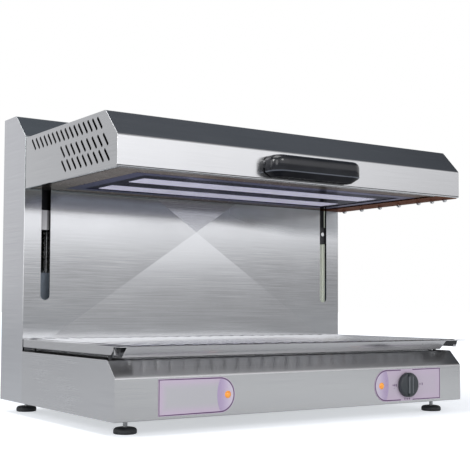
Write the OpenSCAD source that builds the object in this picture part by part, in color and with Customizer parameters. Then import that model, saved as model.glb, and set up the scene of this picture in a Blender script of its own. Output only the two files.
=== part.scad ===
// Cheese melter: a salamander grill whose heated head slides up and down a rear column.
// X runs across the machine, Y runs from front to back, Z is up.
// Inside the modules z = 0 is the underside of the base and y = 0 the front of the column.

/* [Overall] */
// Width across base, column and head
unit_w = 800; // [680:1:960]
// Depth of the base in front of the column
base_d = 386; // [320:1:470]
// Depth of the column
column_d = 110; // [100:1:136]
// Height of the column above the underside of the base
column_h = 568; // [540:1:680]
// Thickness of the folded sheet
sheet = 1.5; // [1:0.1:2]

/* [Base] */
// Height of the base under the cooking grid
base_h = 100; // [92:1:120]
// Height of the vertical front fascia
fascia_h = 72; // [68:1:76]
// Depth of the sloping edge above the fascia
base_slope_d = 28; // [20:1:34]

/* [Feet] */
// Height of the underside of the base above the table
foot_h = 25; // [20:1:40]
// Diameter of a foot pad
pad_d = 40; // [32:1:50]
// Thickness of a foot pad
pad_h = 11.5; // [8:0.5:14]
// Diameter of a foot stem
stem_d = 8; // [6:1:12]
// Distance of a left foot from the side of the base
foot_inset_left = 46; // [34:1:60]
// Distance of a right foot from the side of the base
foot_inset_right = 35; // [34:1:60]
// Distance of a front foot from the front of the base
foot_inset_front = 49; // [40:1:70]
// Distance of a rear foot from the back of the column
foot_inset_rear = 25; // [22:1:34]

/* [Column] */
// Height of the sloping top edge
column_slope_h = 47; // [36:1:56]
// Depth of the sloping top edge
column_slope_d = 50; // [40:1:56]
// Distance of a slot's centre from the side
slot_inset = 46; // [42:1:56]
// Width of a slot
slot_w = 20; // [16:1:26]
// Height of a slot's lower end above the underside of the base
slot_bottom = 200; // [170:1:240]

/* [Head] */
// Height of the head
head_h = 100; // [88:1:120]
// Height of the head's vertical front
head_front_h = 54; // [46:1:66]
// Depth of the head's sloping front edge
head_slope_d = 44; // [34:1:56]
// Gap between head and column
head_gap = 4; // [3:0.5:6]
// Width of the band round the underside window, at the sides
band_side = 66; // [60:1:80]
// Width of the band round the underside window, at the front and back
band_front = 52; // [40:1:64]

/* [Heating strips] */
// Length of a radiant strip
strip_l = 561; // [420:1:600]
// Width of a radiant strip
strip_w = 58; // [44:1:68]
// Distance between the two strips' centres
strip_pitch = 123; // [100:1:140]
// Distance of the front strip's centre from the head's front
strip_front = 152; // [130:1:166]

/* [Handle] */
// Length of the handle
handle_l = 206; // [150:1:260]
// Height of the handle bar
handle_h = 31; // [24:1:34]
// Reach of the handle in front of the head
handle_reach = 40; // [34:1:56]
// Thickness of the handle bar
handle_t = 17; // [12:1:18]

/* [Guides] */
// Diameter of a guide rod
rod_d = 12; // [10:0.5:15]
// Diameter of a counterweight rod
weight_rod_d = 8; // [6:0.5:10]
// Diameter of the synchronising shaft
shaft_d = 12; // [10:0.5:14]
// Diameter of the lift cable
cable_d = 3; // [2:0.5:4]
// Width of a counterweight
weight_w = 118; // [80:1:120]
// Height of a counterweight
weight_h = 170; // [130:1:185]

/* [Cooking grid] */
// Height of the grid's plate above the deck
grid_rise = 23.5; // [18:0.5:28]
// Distance between the grid's ribs
rib_pitch = 28; // [24:1:40]
// Width of a rib
rib_w = 17; // [12:1:18]
// Height of a rib
rib_h = 1.8; // [1:0.1:2.4]
// Depth of the drip tray
tray_depth = 22; // [12:1:30]

/* [Controls] */
// Height of the labels
label_h = 62; // [50:1:64]
// Length of the left label
label_left_l = 154; // [130:1:170]
// Length of the right label
label_right_l = 178; // [160:1:190]
// Distance of the pilot lamps from the middle of the machine
lamp_x = 180; // [170:1:190]
// Diameter of a pilot lamp
lamp_d = 11; // [8:0.5:13]
// Diameter of the knob
knob_d = 48; // [40:1:54]
// Depth of the knob
knob_t = 15; // [14:0.5:26]

/* [Hidden] */
$fn = 48;

eps = 0.01;
run_gap = 0.05;       // radial gap of a shaft that turns or slides in its bore
half_w = unit_w / 2;
inner_w = unit_w - 2 * sheet;
deck_z = base_h;

// Column and slots
slot_x = half_w - slot_inset;
slope_z = column_h - column_slope_h;
back_y = column_d - sheet;

// Head
head_top = slope_z - 4;
head_z = head_top - head_h;
head_back = -head_gap;
head_y = -base_d;
window_w = unit_w - 2 * band_side;
window_front = head_y + band_front;
window_back = head_back - band_front + 12;
pan_z = head_z + sheet;
pan_t = 1.5;

// Handle
handle_z = head_z + head_front_h / 2 + 2;
handle_plate_t = 3;
handle_plate_l = handle_l + 2;
handle_plate_h = 26;
keel_l = handle_l - 36;
keel_h = 9;

// Arms, carriages and their stops
arm_t = 6;
arm_z = head_z + 10;
arm_h = 68;
stop_gap = 12;
head_travel = arm_z - slot_bottom - stop_gap;
slot_top = arm_z + arm_h + 6;
carriage_z = head_z - 78;
carriage_h = arm_z + arm_h - carriage_z;
block_h = 39;
plate_y = 12;
plate_t = 5;
flange_t = 5;

// Guide rods, cables and counterweights
rod_x = slot_x - 32;
rod_y = 29;
block_y = plate_y + plate_t;
block_t = 2 * (rod_y - block_y) + 1;
bush_d = rod_d + 6;
carriage_in = slot_x - 50;
carriage_out = slot_x + 12;
cable_x = slot_x - 57;
cable_back = column_d - 31;
pulley_r = (cable_back - rod_y) / 2;
pulley_y = (cable_back + rod_y) / 2;
pulley_w = 10;
groove_depth = 3;
cable_gap = 0.3;
weight_x = slot_x - 36;
weight_t = 2 * (column_d - 9 - cable_back);
weight_z = head_z - 161 - weight_h;
bracket_t = 6;
bracket_in = slot_x - 50;
bracket_z = carriage_z + carriage_h + 5;
bracket_front = 10;
bracket_back = column_d - 8;
ear_t = 6;
ear_w = shaft_d + 16;
shaft_z = bracket_z + bracket_t + shaft_d / 2 + 6;
idler_z = sheet + bracket_t + pulley_r + groove_depth + 6;
pin_d = 10;

// Feet
left_foot_x = -half_w + foot_inset_left;
right_foot_x = half_w - foot_inset_right;
front_foot_y = -base_d + foot_inset_front;
rear_foot_y = column_d - foot_inset_rear;
nut_d = 16;
nut_h = 8;

// Drip tray and cooking grid
tray_w = unit_w - 96;
tray_front = -base_d + base_slope_d + 20;
tray_back = -22;
tray_flange = 10;
tray_t = 1.2;
grid_z = deck_z + grid_rise;
grid_front = -base_d - 18;
grid_back = -5;
lip_left = -half_w + 12;
lip_right = half_w - 60;
lip_l = 25;
side_flange_h = 15;
flange_cut = 13;
post_d = 6;

// Controls
label_t = 0.8;
label_z = (fascia_h - label_h) / 2 + 0.5;
control_z = label_z + label_h / 2;
label_left_x = -lamp_x + 15 - label_left_l;
label_right_x = lamp_x - 18;
knob_x = label_right_x + 85;
shaft_pin_d = 6;
shaft_in = 9;
knob_gap = 1.5;
knob_y = -base_d - label_t - knob_gap;

// Cable gland
gland_x = half_w - 90;
gland_z = 62;
gland_d = 24;
gland_out = 22;
gland_bore = 9;

// The origin lies on the table under the middle of the whole machine
mid_y = (column_d + gland_out - base_d - handle_reach) / 2;

module placed() {
  translate([0, -mid_y, foot_h]) children();
}

// ---------- shared shapes ----------

// Box between two corners
module box(low, high) {
  translate(low) cube(high - low);
}

// Round bar along X, Y or Z from a start point
module bar_x(p, d, l) {
  translate(p) rotate([0, 90, 0]) cylinder(d = d, h = l);
}

module bar_y(p, d, l) {
  translate(p) rotate([-90, 0, 0]) cylinder(d = d, h = l);
}

module bar_z(p, d, l) {
  translate(p) cylinder(d = d, h = l);
}

// The same shape on the left and on the right
module both_sides() {
  children();
  mirror([1, 0, 0]) children();
}

// Extrudes an outline drawn in Y and Z across X, centred
module across(width) {
  translate([-width / 2, 0, 0])
    rotate([90, 0, 90])
      linear_extrude(width) children();
}

// Outline of a casing with a sloping upper front edge, drawn inset by w from its outer face.
// The back and the underside are left open by an inset of less than nothing.
module casing_outline(front, back, low, knee, top, slope, w, open) {
  rise = top - knee;
  run = sqrt(slope * slope + rise * rise);
  knee_in = knee + w * (rise - run) / slope;
  slope_in = (w * run + (rise - w) * slope) / rise;
  polygon([
    [front + w, low - open],
    [front + w, knee_in],
    [front + slope_in, top - w],
    [back + open, top - w],
    [back + open, low - open]
  ]);
}

// Folded casing: outer outline less the inset one, with side walls of one sheet
module folded_casing(front, back, low, knee, top, slope) {
  difference() {
    across(unit_w) casing_outline(front, back, low, knee, top, slope, 0, 0);
    across(inner_w) casing_outline(front, back, low, knee, top, slope, sheet, 1);
  }
}

// Upright slot with round ends, cut along Y
module slot_cut(x, z0, z1, w, y0, y1) {
  box([x - w / 2, y0, z0 + w / 2], [x + w / 2, y1, z1 - w / 2]);
  for (z = [z0 + w / 2, z1 - w / 2])
    bar_y([x, y0, z], w, y1 - y0);
}

// ---------- base ----------

module base_shell() {
  color("silver") placed() difference() {
    folded_casing(-base_d, 0, 0, fascia_h, base_h, base_slope_d);
    box([-tray_w / 2, tray_front, deck_z - 5], [tray_w / 2, tray_back, deck_z + 1]);
    for (x = [-lamp_x, lamp_x])
      bar_y([x, -base_d - 1, control_z], lamp_d + 0.2, sheet + 2);
    bar_y([knob_x, -base_d - 1, control_z], shaft_pin_d + 4, sheet + 2);
  }
}

module base_plate() {
  color("gray") placed() difference() {
    box([-inner_w / 2, -base_d + sheet, 0], [inner_w / 2, back_y, sheet]);
    foot_places() bar_z([0, 0, -1], nut_d - 4, sheet + 2);
  }
}

module foot_places() {
  for (x = [left_foot_x, right_foot_x])
    for (y = [front_foot_y, rear_foot_y])
      translate([x, y, 0]) children();
}

module foot_nuts() {
  color("lightgray") placed() foot_places() difference() {
    union() {
      bar_z([0, 0, 0], nut_d - 4, sheet + nut_h);
      bar_z([0, 0, sheet], nut_d, nut_h);
    }
    bar_z([0, 0, -1], stem_d + 2 * run_gap, nut_h + sheet + 2);
  }
}

module foot(x, y) {
  color("#17181a") placed() translate([x, y, -foot_h]) {
    rotate_extrude($fn = 64) polygon([
      [0, 0], [pad_d / 2 - 2, 0], [pad_d / 2, 2], [pad_d / 2, pad_h - 5],
      [pad_d / 2 - 3.5, pad_h - 1], [stem_d / 2 + 7, pad_h], [0, pad_h]
    ]);
    bar_z([0, 0, pad_h - eps], stem_d, foot_h - pad_h + sheet + nut_h + 3);
  }
}

module locating_posts() {
  post_top = grid_z - sheet;
  color("#1c1d20") placed()
    for (p = [[-half_w + 8, -base_d + base_slope_d + 4], [half_w - 42, -base_d + base_slope_d + 4],
              [-half_w + 14, -30], [half_w - 14, -30]])
      bar_z([p[0], p[1], deck_z], post_d, post_top - deck_z);
}

// ---------- column ----------

module column_shell() {
  color("lightgray") placed() difference() {
    folded_casing(0, column_d, 0, slope_z, column_h, column_slope_d);
    for (x = [-slot_x, slot_x])
      slot_cut(x, slot_bottom, slot_top, slot_w, -1, sheet + 1);
    box([-half_w + 100, -1, 34], [half_w - 100, sheet + 1, base_h - 12]);
    box([-inner_w / 2, -1, -1], [inner_w / 2, sheet + 1, sheet]);
  }
}

vent_d = 4.4;
vent_pitch = 10;
vent_cols = 8;
vent_rows = 22;
vent_x = slot_x - 84;
vent_z = 150;

module rear_panel() {
  panel_w = inner_w - 1;
  color("gray") placed() difference() {
    box([-panel_w / 2, back_y, sheet + 0.5], [panel_w / 2, column_d, column_h - sheet - 0.5]);
    both_sides()
      for (i = [0 : vent_cols - 1])
        for (j = [0 : vent_rows - 1])
          bar_y([vent_x + i * vent_pitch, back_y - 1, vent_z + j * vent_pitch], vent_d, sheet + 2, $fn = 16);
    bar_y([gland_x, back_y - 1, gland_z], gland_d - 6, sheet + 2);
    screw_places() bar_y([0, back_y - 1, 0], 4.2, sheet + 2);
  }
}

module screw_places() {
  for (x = [-1, 0, 1])
    for (z = [24, column_h - 16])
      translate([x * (half_w - 16), 0, z]) children();
  for (x = [-1, 1])
    translate([x * (half_w - 16), 0, column_h / 2]) children();
}

module rear_screws() {
  color("silver") placed() screw_places() {
    bar_y([0, back_y - 8, 0], 4, 8 + sheet);
    translate([0, column_d, 0]) rotate([-90, 0, 0]) rotate_extrude()
      polygon([[0, 0], [4, 0], [4, 1], [2.4, 2.6], [0, 3]]);
  }
}

module cable_gland() {
  color("#202124") placed() difference() {
    union() {
      bar_y([gland_x, back_y - 10, gland_z], gland_d - 6.4, 10 + sheet);
      bar_y([gland_x, back_y - 8, gland_z], gland_d, 5);
      bar_y([gland_x, column_d, gland_z], gland_d, 9);
      bar_y([gland_x, column_d + 9 - eps, gland_z], gland_d - 5, gland_out - 9 + eps);
    }
    bar_y([gland_x, back_y - 12, gland_z], gland_bore, gland_out + 20);
  }
}

module mains_terminals() {
  color("ivory") placed() difference() {
    box([half_w - 190, -90, sheet], [half_w - 120, -62, 26]);
    for (i = [0 : 4])
      bar_z([half_w - 181 + i * 13, -76, 16], 6, 12);
  }
}

// ---------- controls ----------

// Label outline: one end square, the other round
module label_outline(l) {
  square([l - label_h / 2, label_h]);
  translate([l - label_h / 2, label_h / 2]) circle(d = label_h, $fn = 96);
}

module label_plate(l) {
  rotate([90, 0, 0]) linear_extrude(label_t) label_outline(l);
}

module left_label() {
  color("thistle") placed() difference() {
    translate([label_left_x, -base_d, label_z]) label_plate(label_left_l);
    bar_y([-lamp_x, -base_d - 3, control_z], lamp_d + 0.2, 6);
  }
}

module right_label() {
  color("thistle") placed() difference() {
    translate([label_right_x + label_right_l, -base_d, label_z])
      mirror([1, 0, 0]) label_plate(label_right_l);
    bar_y([lamp_x, -base_d - 3, control_z], lamp_d + 0.2, 6);
    bar_y([knob_x, -base_d - 3, control_z], shaft_pin_d + 4, 6);
  }
}

module pilot_lamp(x) {
  front = -base_d - label_t;
  color("orange") placed() {
    bar_y([x, front, control_z], lamp_d, 26);
    translate([x, front + eps, control_z]) rotate([90, 0, 0]) rotate_extrude()
      polygon([[0, 0], [lamp_d / 2 + 0.8, 0], [lamp_d / 2 + 0.8, 1], [lamp_d / 2 - 1, 2.4], [0, 3]]);
  }
}

module left_lamp() pilot_lamp(-lamp_x);
module right_lamp() pilot_lamp(lamp_x);

module heat_regulator() {
  back = -base_d + sheet;
  color("#2b2c30") placed() difference() {
    union() {
      box([knob_x - 19, back, control_z - 19], [knob_x + 19, back + 40, control_z + 19]);
      box([knob_x - 14, back + 40, control_z + 4], [knob_x - 8, back + 48, control_z + 10]);
      box([knob_x + 8, back + 40, control_z - 10], [knob_x + 14, back + 48, control_z - 4]);
    }
    bar_y([knob_x, back - 1, control_z], shaft_pin_d + 2 * run_gap, 26);
  }
}

module regulator_shaft() {
  color("silver") placed()
    bar_y([knob_x, knob_y - shaft_in, control_z], shaft_pin_d, shaft_in + knob_gap + label_t + sheet + 20);
}

module knob() {
  skirt = 5;
  grip_w = 11;
  color("#2a2e33") placed() translate([knob_x, knob_y, control_z]) rotate([90, 0, 0]) difference() {
    union() {
      rotate_extrude($fn = 72) polygon([
        [0, 0], [knob_d / 2, 0], [knob_d / 2, skirt - 1.5], [knob_d / 2 - 1.5, skirt],
        [knob_d / 2 - 5, skirt + 5], [knob_d / 2 - 10, skirt + 7], [0, skirt + 7.5]
      ]);
      intersection() {
        box([-grip_w / 2, -knob_d / 2 + 1.5, 0], [grip_w / 2, knob_d / 2 - 1.5, knob_t]);
        cylinder(d = knob_d - 3, h = knob_t, $fn = 72);
      }
    }
    translate([0, 0, -1]) cylinder(d = shaft_pin_d, h = shaft_in + 1);
  }
}

// ---------- drip tray and grid ----------

module drip_tray() {
  out = 1;
  color("gainsboro") placed() difference() {
    union() {
      box([-tray_w / 2 + out, tray_front + out, deck_z - tray_depth],
          [tray_w / 2 - out, tray_back - out, deck_z + tray_t]);
      box([-tray_w / 2 - tray_flange, tray_front - tray_flange, deck_z],
          [tray_w / 2 + tray_flange, tray_back + tray_flange, deck_z + tray_t]);
    }
    box([-tray_w / 2 + out + tray_t, tray_front + out + tray_t, deck_z - tray_depth + tray_t],
        [tray_w / 2 - out - tray_t, tray_back - out - tray_t, deck_z + tray_t + 1]);
  }
}

// Number of ribs that fit between the side flanges, and the middle of the first
rib_n = floor((unit_w - 30) / rib_pitch);
rib_x0 = -(rib_n - 1) * rib_pitch / 2;
rib_r = (rib_w * rib_w / 4 + rib_h * rib_h) / (2 * rib_h);
rib_front = grid_front + 3;
rib_back = grid_back - 14;

module rib(x) {
  l = rib_back - rib_front - rib_w;
  translate([x, rib_front + rib_w / 2, grid_z]) intersection() {
    box([-rib_w, -rib_w / 2, -sheet / 2], [rib_w, l + rib_w / 2, rib_h + 1]);
    union() {
      bar_y([0, 0, rib_h - rib_r], 2 * rib_r, l);
      for (y = [0, l])
        translate([0, y, rib_h - rib_r]) rotate_extrude($fn = 64)
          intersection() {
            circle(r = rib_r);
            square([rib_r, rib_r]);
          }
    }
  }
}

module cooking_grid() {
  slit_w = 5;
  slit_l = (rib_back - rib_front - 60) / 2;
  color("gainsboro") placed() {
    difference() {
      union() {
        box([-half_w, grid_front, grid_z - sheet], [half_w, grid_back, grid_z]);
        for (i = [0 : rib_n - 1]) rib(rib_x0 + i * rib_pitch);
      }
      for (i = [0 : rib_n - 2])
        for (k = [0, 1])
          translate([rib_x0 + (i + 0.5) * rib_pitch, rib_front + 20 + k * (slit_l + 20), grid_z - sheet - 1])
            linear_extrude(sheet + 2) {
              translate([-slit_w / 2, slit_w / 2]) square([slit_w, slit_l - slit_w]);
              for (y = [slit_w / 2, slit_l - slit_w / 2])
                translate([0, y]) circle(d = slit_w, $fn = 16);
            }
    }
    side_flanges();
    front_lip();
  }
}

module side_flanges() {
  low = grid_z - side_flange_h;
  both_sides() difference() {
    box([half_w - sheet, grid_front + 26, low], [half_w, grid_back, grid_z - sheet + eps]);
    translate([half_w - sheet - 1, grid_front + 26, low])
      rotate([45, 0, 0]) translate([0, -20, -20]) cube([sheet + 2, 20 + flange_cut / 2, 40]);
  }
}

// The lip starts at the grid's front edge and is bent down and back
module front_lip() {
  translate([lip_left, grid_front, grid_z]) rotate([-45, 0, 0])
    translate([0, 0, -sheet]) cube([lip_right - lip_left, lip_l, sheet]);
}

// Black pads under the grid's front corners, behind the lip
module grid_pads() {
  pad_l = 45;
  color("#1c1d20") placed() both_sides()
    box([half_w - 10 - pad_l, grid_front + 18, grid_z - sheet - 9],
        [half_w - 10, grid_front + 34, grid_z - sheet]);
}

// ---------- guides in the column ----------

module guide_rods() {
  color("silver") placed() both_sides()
    bar_z([rod_x, rod_y, sheet], rod_d, bracket_z + bracket_t - sheet);
}

module weight_rods() {
  color("silver") placed() both_sides()
    bar_z([weight_x, cable_back, sheet], weight_rod_d, bracket_z + bracket_t - sheet);
}

// Braided supply leads that stand between the brackets beside the right carriage
lead_d = 6.5;

module supply_leads() {
  color("silver") placed()
    for (x = [carriage_out + 15.5, half_w - 10])
      bar_z([x, rod_y + 14, sheet + bracket_t], lead_d, bracket_z - sheet - bracket_t);
}

// Bracket plate with rod seats and an ear that carries the shaft or the idler
module bracket(z, ear_z0, ear_z1) {
  difference() {
    union() {
      box([bracket_in, bracket_front, z], [half_w - sheet, bracket_back, z + bracket_t]);
      box([bracket_in, pulley_y - ear_w / 2, ear_z0], [bracket_in + ear_t, pulley_y + ear_w / 2, ear_z1]);
    }
    bar_z([rod_x, rod_y, z - 1], rod_d, bracket_t + 2);
    bar_z([weight_x, cable_back, z - 1], weight_rod_d, bracket_t + 2);
  }
}

module top_brackets() {
  color("dimgray") placed() both_sides() {
    difference() {
      bracket(bracket_z, bracket_z, shaft_z + shaft_d / 2 + 9);
      bar_x([bracket_in - 1, pulley_y, shaft_z], shaft_d + 4, ear_t + 2);
    }
    box([half_w - sheet - 3, bracket_front, bracket_z - 24],
        [half_w - sheet, bracket_back, bracket_z + eps]);
  }
}

module bottom_brackets() {
  color("dimgray") placed() difference() {
    both_sides() difference() {
      bracket(sheet, sheet, idler_z + pin_d / 2 + 8);
      bar_x([bracket_in - 1, pulley_y, idler_z], pin_d, ear_t + 2);
    }
    foot_places() bar_z([0, 0, 0], nut_d + 4, 20);
  }
}

module shaft_bearings() {
  color("peru") placed() both_sides() difference() {
    union() {
      bar_x([bracket_in, pulley_y, shaft_z], shaft_d + 4, ear_t);
      bar_x([bracket_in + ear_t, pulley_y, shaft_z], shaft_d + 8, 2);
    }
    bar_x([bracket_in - 1, pulley_y, shaft_z], shaft_d + 2 * run_gap, ear_t + 4);
  }
}

module idler_pins() {
  pin_x = cable_x - pulley_w / 2 - 1;
  color("silver") placed() both_sides() {
    bar_x([pin_x, pulley_y, idler_z], pin_d, bracket_in + ear_t - pin_x);
    bar_x([bracket_in + ear_t, pulley_y, idler_z], pin_d + 5, 4);
    bar_x([pin_x - 2, pulley_y, idler_z], pin_d + 5, 2.5);
  }
}

// One closed loop of cable round the top pulley and the idler
module cable_loop() {
  for (y = [rod_y, cable_back])
    bar_z([0, y, idler_z], cable_d, shaft_z - idler_z);
  translate([0, pulley_y, shaft_z]) rotate([90, 0, 90])
    rotate_extrude(angle = 180) translate([pulley_r, 0]) circle(d = cable_d);
  translate([0, pulley_y, idler_z]) rotate([-90, 0, 90])
    rotate_extrude(angle = 180) translate([pulley_r, 0]) circle(d = cable_d);
}

module lift_cables() {
  color("gray") placed()
    for (x = [-cable_x, cable_x]) translate([x, 0, 0]) cable_loop();
}

// Grooved pulley on the X axis
module pulley(bore, hub_d) {
  groove_r = cable_d / 2 + cable_gap;
  rotate([0, 90, 0]) difference() {
    translate([0, 0, -pulley_w / 2]) cylinder(r = pulley_r + groove_depth, h = pulley_w, $fn = 72);
    rotate_extrude($fn = 72) translate([pulley_r, 0]) union() {
      circle(r = groove_r);
      translate([0, -groove_r]) square([groove_depth + 1, 2 * groove_r]);
    }
    translate([0, 0, -pulley_w]) cylinder(d = bore, h = 2 * pulley_w);
    for (s = [-1, 1])
      translate([0, 0, s * pulley_w / 2]) difference() {
        cylinder(r = pulley_r - 4, h = 4, center = true);
        cylinder(d = hub_d, h = 6, center = true);
      }
  }
}

module sync_shaft() {
  color("silver") placed()
    bar_x([-bracket_in - ear_t - 6, pulley_y, shaft_z], shaft_d, 2 * (bracket_in + ear_t + 6));
}

module top_pulley(side) {
  color("#3b3f44") placed() translate([side * cable_x, pulley_y, shaft_z])
    pulley(shaft_d, shaft_d + 10);
}

module idler(side) {
  color("#3b3f44") placed() translate([side * cable_x, pulley_y, idler_z])
    pulley(pin_d + 2 * run_gap, pin_d + 10);
}

module left_pulley() top_pulley(-1);
module right_pulley() top_pulley(1);
module left_idler() idler(-1);
module right_idler() idler(1);

module counterweight() {
  nipple_h = 10;
  low = [cable_x - weight_w / 2, cable_back - weight_t / 2, weight_z];
  high = [cable_x + weight_w / 2, cable_back + weight_t / 2, weight_z + weight_h];
  difference() {
    union() {
      box(low, high);
      bar_z([cable_x, cable_back, weight_z + weight_h], cable_d + 8, nipple_h);
    }
    bar_z([cable_x, cable_back, weight_z - 1], cable_d + 2 * run_gap, weight_h + nipple_h + 2);
    bar_z([weight_x, cable_back, weight_z - 1], weight_rod_d + 2 * run_gap, weight_h + 2);
  }
}

module left_counterweight() color("slategray") placed() mirror([1, 0, 0]) counterweight();
module right_counterweight() color("slategray") placed() counterweight();

// ---------- head ----------

// One inclined vent slot in a side wall, cut along X
vent_slot_w = 5.6;
vent_slot_l = 29;
vent_tilt = 41;

module side_vent(y, z) {
  straight = vent_slot_l - vent_slot_w;
  translate([0, y, z]) rotate([-vent_tilt, 0, 0]) {
    box([-half_w - 1, -vent_slot_w / 2, -straight / 2], [half_w + 1, vent_slot_w / 2, straight / 2]);
    for (s = [-1, 1])
      bar_x([-half_w - 1, 0, s * straight / 2], vent_slot_w, unit_w + 2, $fn = 16);
  }
}

// Rows of vents: count, distance of the first from the head's back, pitch, height above the underside
vent_rows_head = [[16, 38.5, 18.6, 81], [9, 170, 21.25, 50], [9, 175, 21.25, 23.5]];

module head_shell() {
  color("whitesmoke") placed() difference() {
    folded_casing(head_y, head_back, head_z, head_z + head_front_h, head_top, head_slope_d);
    for (row = vent_rows_head)
      for (i = [0 : row[0] - 1])
        side_vent(head_back - row[1] - i * row[2], head_z + row[3]);
    for (x = [-1, 1])
      bar_y([x * (handle_l / 2 - 10), head_y - 1, handle_z], 6.2, sheet + 2);
  }
}

module head_rear_panel() {
  color("lightgray") placed() difference() {
    box([-inner_w / 2, head_back - sheet, head_z + sheet], [inner_w / 2, head_back, head_top - sheet]);
    for (x = [-slot_x, slot_x])
      box([x - arm_t / 2 - 1, head_back - sheet - 1, arm_z - 1],
          [x + arm_t / 2 + 1, head_back + 1, arm_z + arm_h + 1]);
  }
}

module head_underframe() {
  color("rosybrown") placed() difference() {
    box([-inner_w / 2, head_y + sheet, head_z], [inner_w / 2, head_back, head_z + sheet]);
    box([-window_w / 2, window_front, head_z - 1], [window_w / 2, window_back, head_z + sheet + 1]);
    cover_places() bar_z([0, 0, head_z - 1], 5, sheet + 2);
  }
}

strip_y = [head_y + strip_front, head_y + strip_front + strip_pitch];

// The reflector laps over the band round the window, and at the sides no further than the arms let it
module reflector() {
  lap = 10;
  side_lap = min(lap, slot_x - arm_t / 2 - 1 - window_w / 2);
  color("lightslategray") placed() difference() {
    box([-window_w / 2 - side_lap, window_front - lap, pan_z],
        [window_w / 2 + side_lap, window_back + lap, pan_z + pan_t]);
    for (y = strip_y)
      box([-strip_l / 2 - 1, y - strip_w / 2 - 1, pan_z - 1],
          [strip_l / 2 + 1, y + strip_w / 2 + 1, pan_z + pan_t + 1]);
  }
}

// Bright edging that frames the reflector inside the window
module window_trim() {
  trim_w = 29;
  color("lightsteelblue") placed() difference() {
    box([-window_w / 2 + 0.5, window_front + 0.5, pan_z - 1],
        [window_w / 2 - 0.5, window_back - 0.5, pan_z]);
    box([-window_w / 2 + trim_w, window_front + trim_w - 4, pan_z - 2],
        [window_w / 2 - trim_w, window_back - trim_w + 4, pan_z + 1]);
  }
}

module strip(y) {
  color("lavender") placed()
    box([-strip_l / 2, y - strip_w / 2, head_z + 0.8], [strip_l / 2, y + strip_w / 2, pan_z + pan_t + 5]);
}

module front_strip() strip(strip_y[0]);
module rear_strip() strip(strip_y[1]);

holder_h = 14;

module strip_holders() {
  low = pan_z + pan_t;
  color("ivory") placed()
    for (x = [-1, 1])
      for (y = strip_y)
        difference() {
          translate([x * strip_l / 2, y, low + holder_h / 2])
            cube([24, strip_w + 12, holder_h], center = true);
          box([-strip_l / 2, y - strip_w / 2, low - 1], [strip_l / 2, y + strip_w / 2, low + 5]);
        }
}

module insulation() {
  low = pan_z + pan_t + holder_h;
  color("wheat") placed()
    box([-strip_l / 2 - 12, window_front, low], [strip_l / 2 + 12, window_back, low + 28]);
}

module element_terminals() {
  x0 = half_w - band_side + 16;
  color("ivory") placed() difference() {
    box([x0, head_y + 120, head_z + sheet], [x0 + 30, head_y + 220, head_z + sheet + 24]);
    for (i = [0 : 3])
      bar_z([x0 + 15, head_y + 132 + i * 25, head_z + sheet + 14], 8, 12);
  }
}

cover_t = 1;
cover_y = [for (i = [0 : 4]) -33 - 61 * i, -317, -353];

module cover_places() {
  for (y = cover_y)
    translate([half_w - 8, y * base_d / 386, 0]) children();
}

module terminal_cover() {
  color("saddlebrown") placed() difference() {
    box([half_w - band_side + 2, head_y + 6, head_z - cover_t], [half_w - 1, head_back - 6, head_z]);
    cover_places() bar_z([0, 0, head_z - 3], 5, 4);
  }
}

module cover_nuts() {
  color("silver") placed() cover_places() {
    bar_z([0, 0, head_z - cover_t], 4.8, sheet + cover_t + 3);
    translate([0, 0, head_z - cover_t]) mirror([0, 0, 1]) rotate_extrude()
      polygon([[0, 0], [5, 0], [5, 2], [4.2, 3.6], [2.4, 5], [0, 5.5]]);
  }
}

// ---------- handle ----------

// Back plate with round ends
module handle_plate() {
  end_x = (handle_plate_l - handle_plate_h) / 2;
  front = head_y - handle_plate_t;
  color("#14161a") placed() difference() {
    union() {
      box([-end_x, front, handle_z - handle_plate_h / 2], [end_x, head_y, handle_z + handle_plate_h / 2]);
      for (x = [-end_x, end_x]) bar_y([x, front, handle_z], handle_plate_h, handle_plate_t, $fn = 96);
    }
    for (x = [-1, 1])
      bar_y([x * (handle_l / 2 - 10), front - 1, handle_z], 6.2, handle_plate_t + 2);
  }
}

// Plan of the bow: a bar with rounded front corners and two legs
module bow_plan() {
  reach = handle_reach - handle_plate_t;
  corner = min(20, reach / 2 - 0.5);
  inner = min(10, reach - handle_t - 4);
  leg = 19;
  difference() {
    union() {
      translate([-handle_l / 2, corner]) square([handle_l, reach - corner]);
      translate([-handle_l / 2 + corner, 0]) square([handle_l - 2 * corner, corner + eps]);
      for (x = [-1, 1]) translate([x * (handle_l / 2 - corner), corner]) circle(r = corner);
    }
    translate([-handle_l / 2 + leg, handle_t + inner]) square([handle_l - 2 * leg, reach]);
    translate([-handle_l / 2 + leg + inner, handle_t]) square([handle_l - 2 * leg - 2 * inner, inner + eps]);
    for (x = [-1, 1]) translate([x * (handle_l / 2 - leg - inner), handle_t + inner]) circle(r = inner);
  }
}

// Hull under the bar: a wedge whose lower edge is a wide arc that runs up into the bar
module keel() {
  r = (keel_l * keel_l / 4 + keel_h * keel_h) / (2 * keel_h);
  front = head_y - handle_reach;
  low = handle_z - handle_h / 2;
  intersection() {
    translate([-keel_l / 2 - 8, 0, 0]) rotate([90, 0, 90]) linear_extrude(keel_l + 16)
      polygon([
        [front + 1, low + 1], [front + handle_t - 3, low - keel_h],
        [front + handle_t - 1, low - keel_h], [front + handle_t - 1, low + 1]
      ]);
    bar_y([0, front, low - keel_h + r], 2 * r, handle_t + 1, $fn = 180);
  }
}

module handle_bow() {
  color("#101216") placed() difference() {
    union() {
      translate([0, head_y - handle_reach, handle_z - handle_h / 2])
        linear_extrude(handle_h) bow_plan();
      keel();
    }
    for (x = [-1, 1])
      bar_y([x * (handle_l / 2 - 10), head_y - 18, handle_z], 5.8, 18);
  }
}

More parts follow.
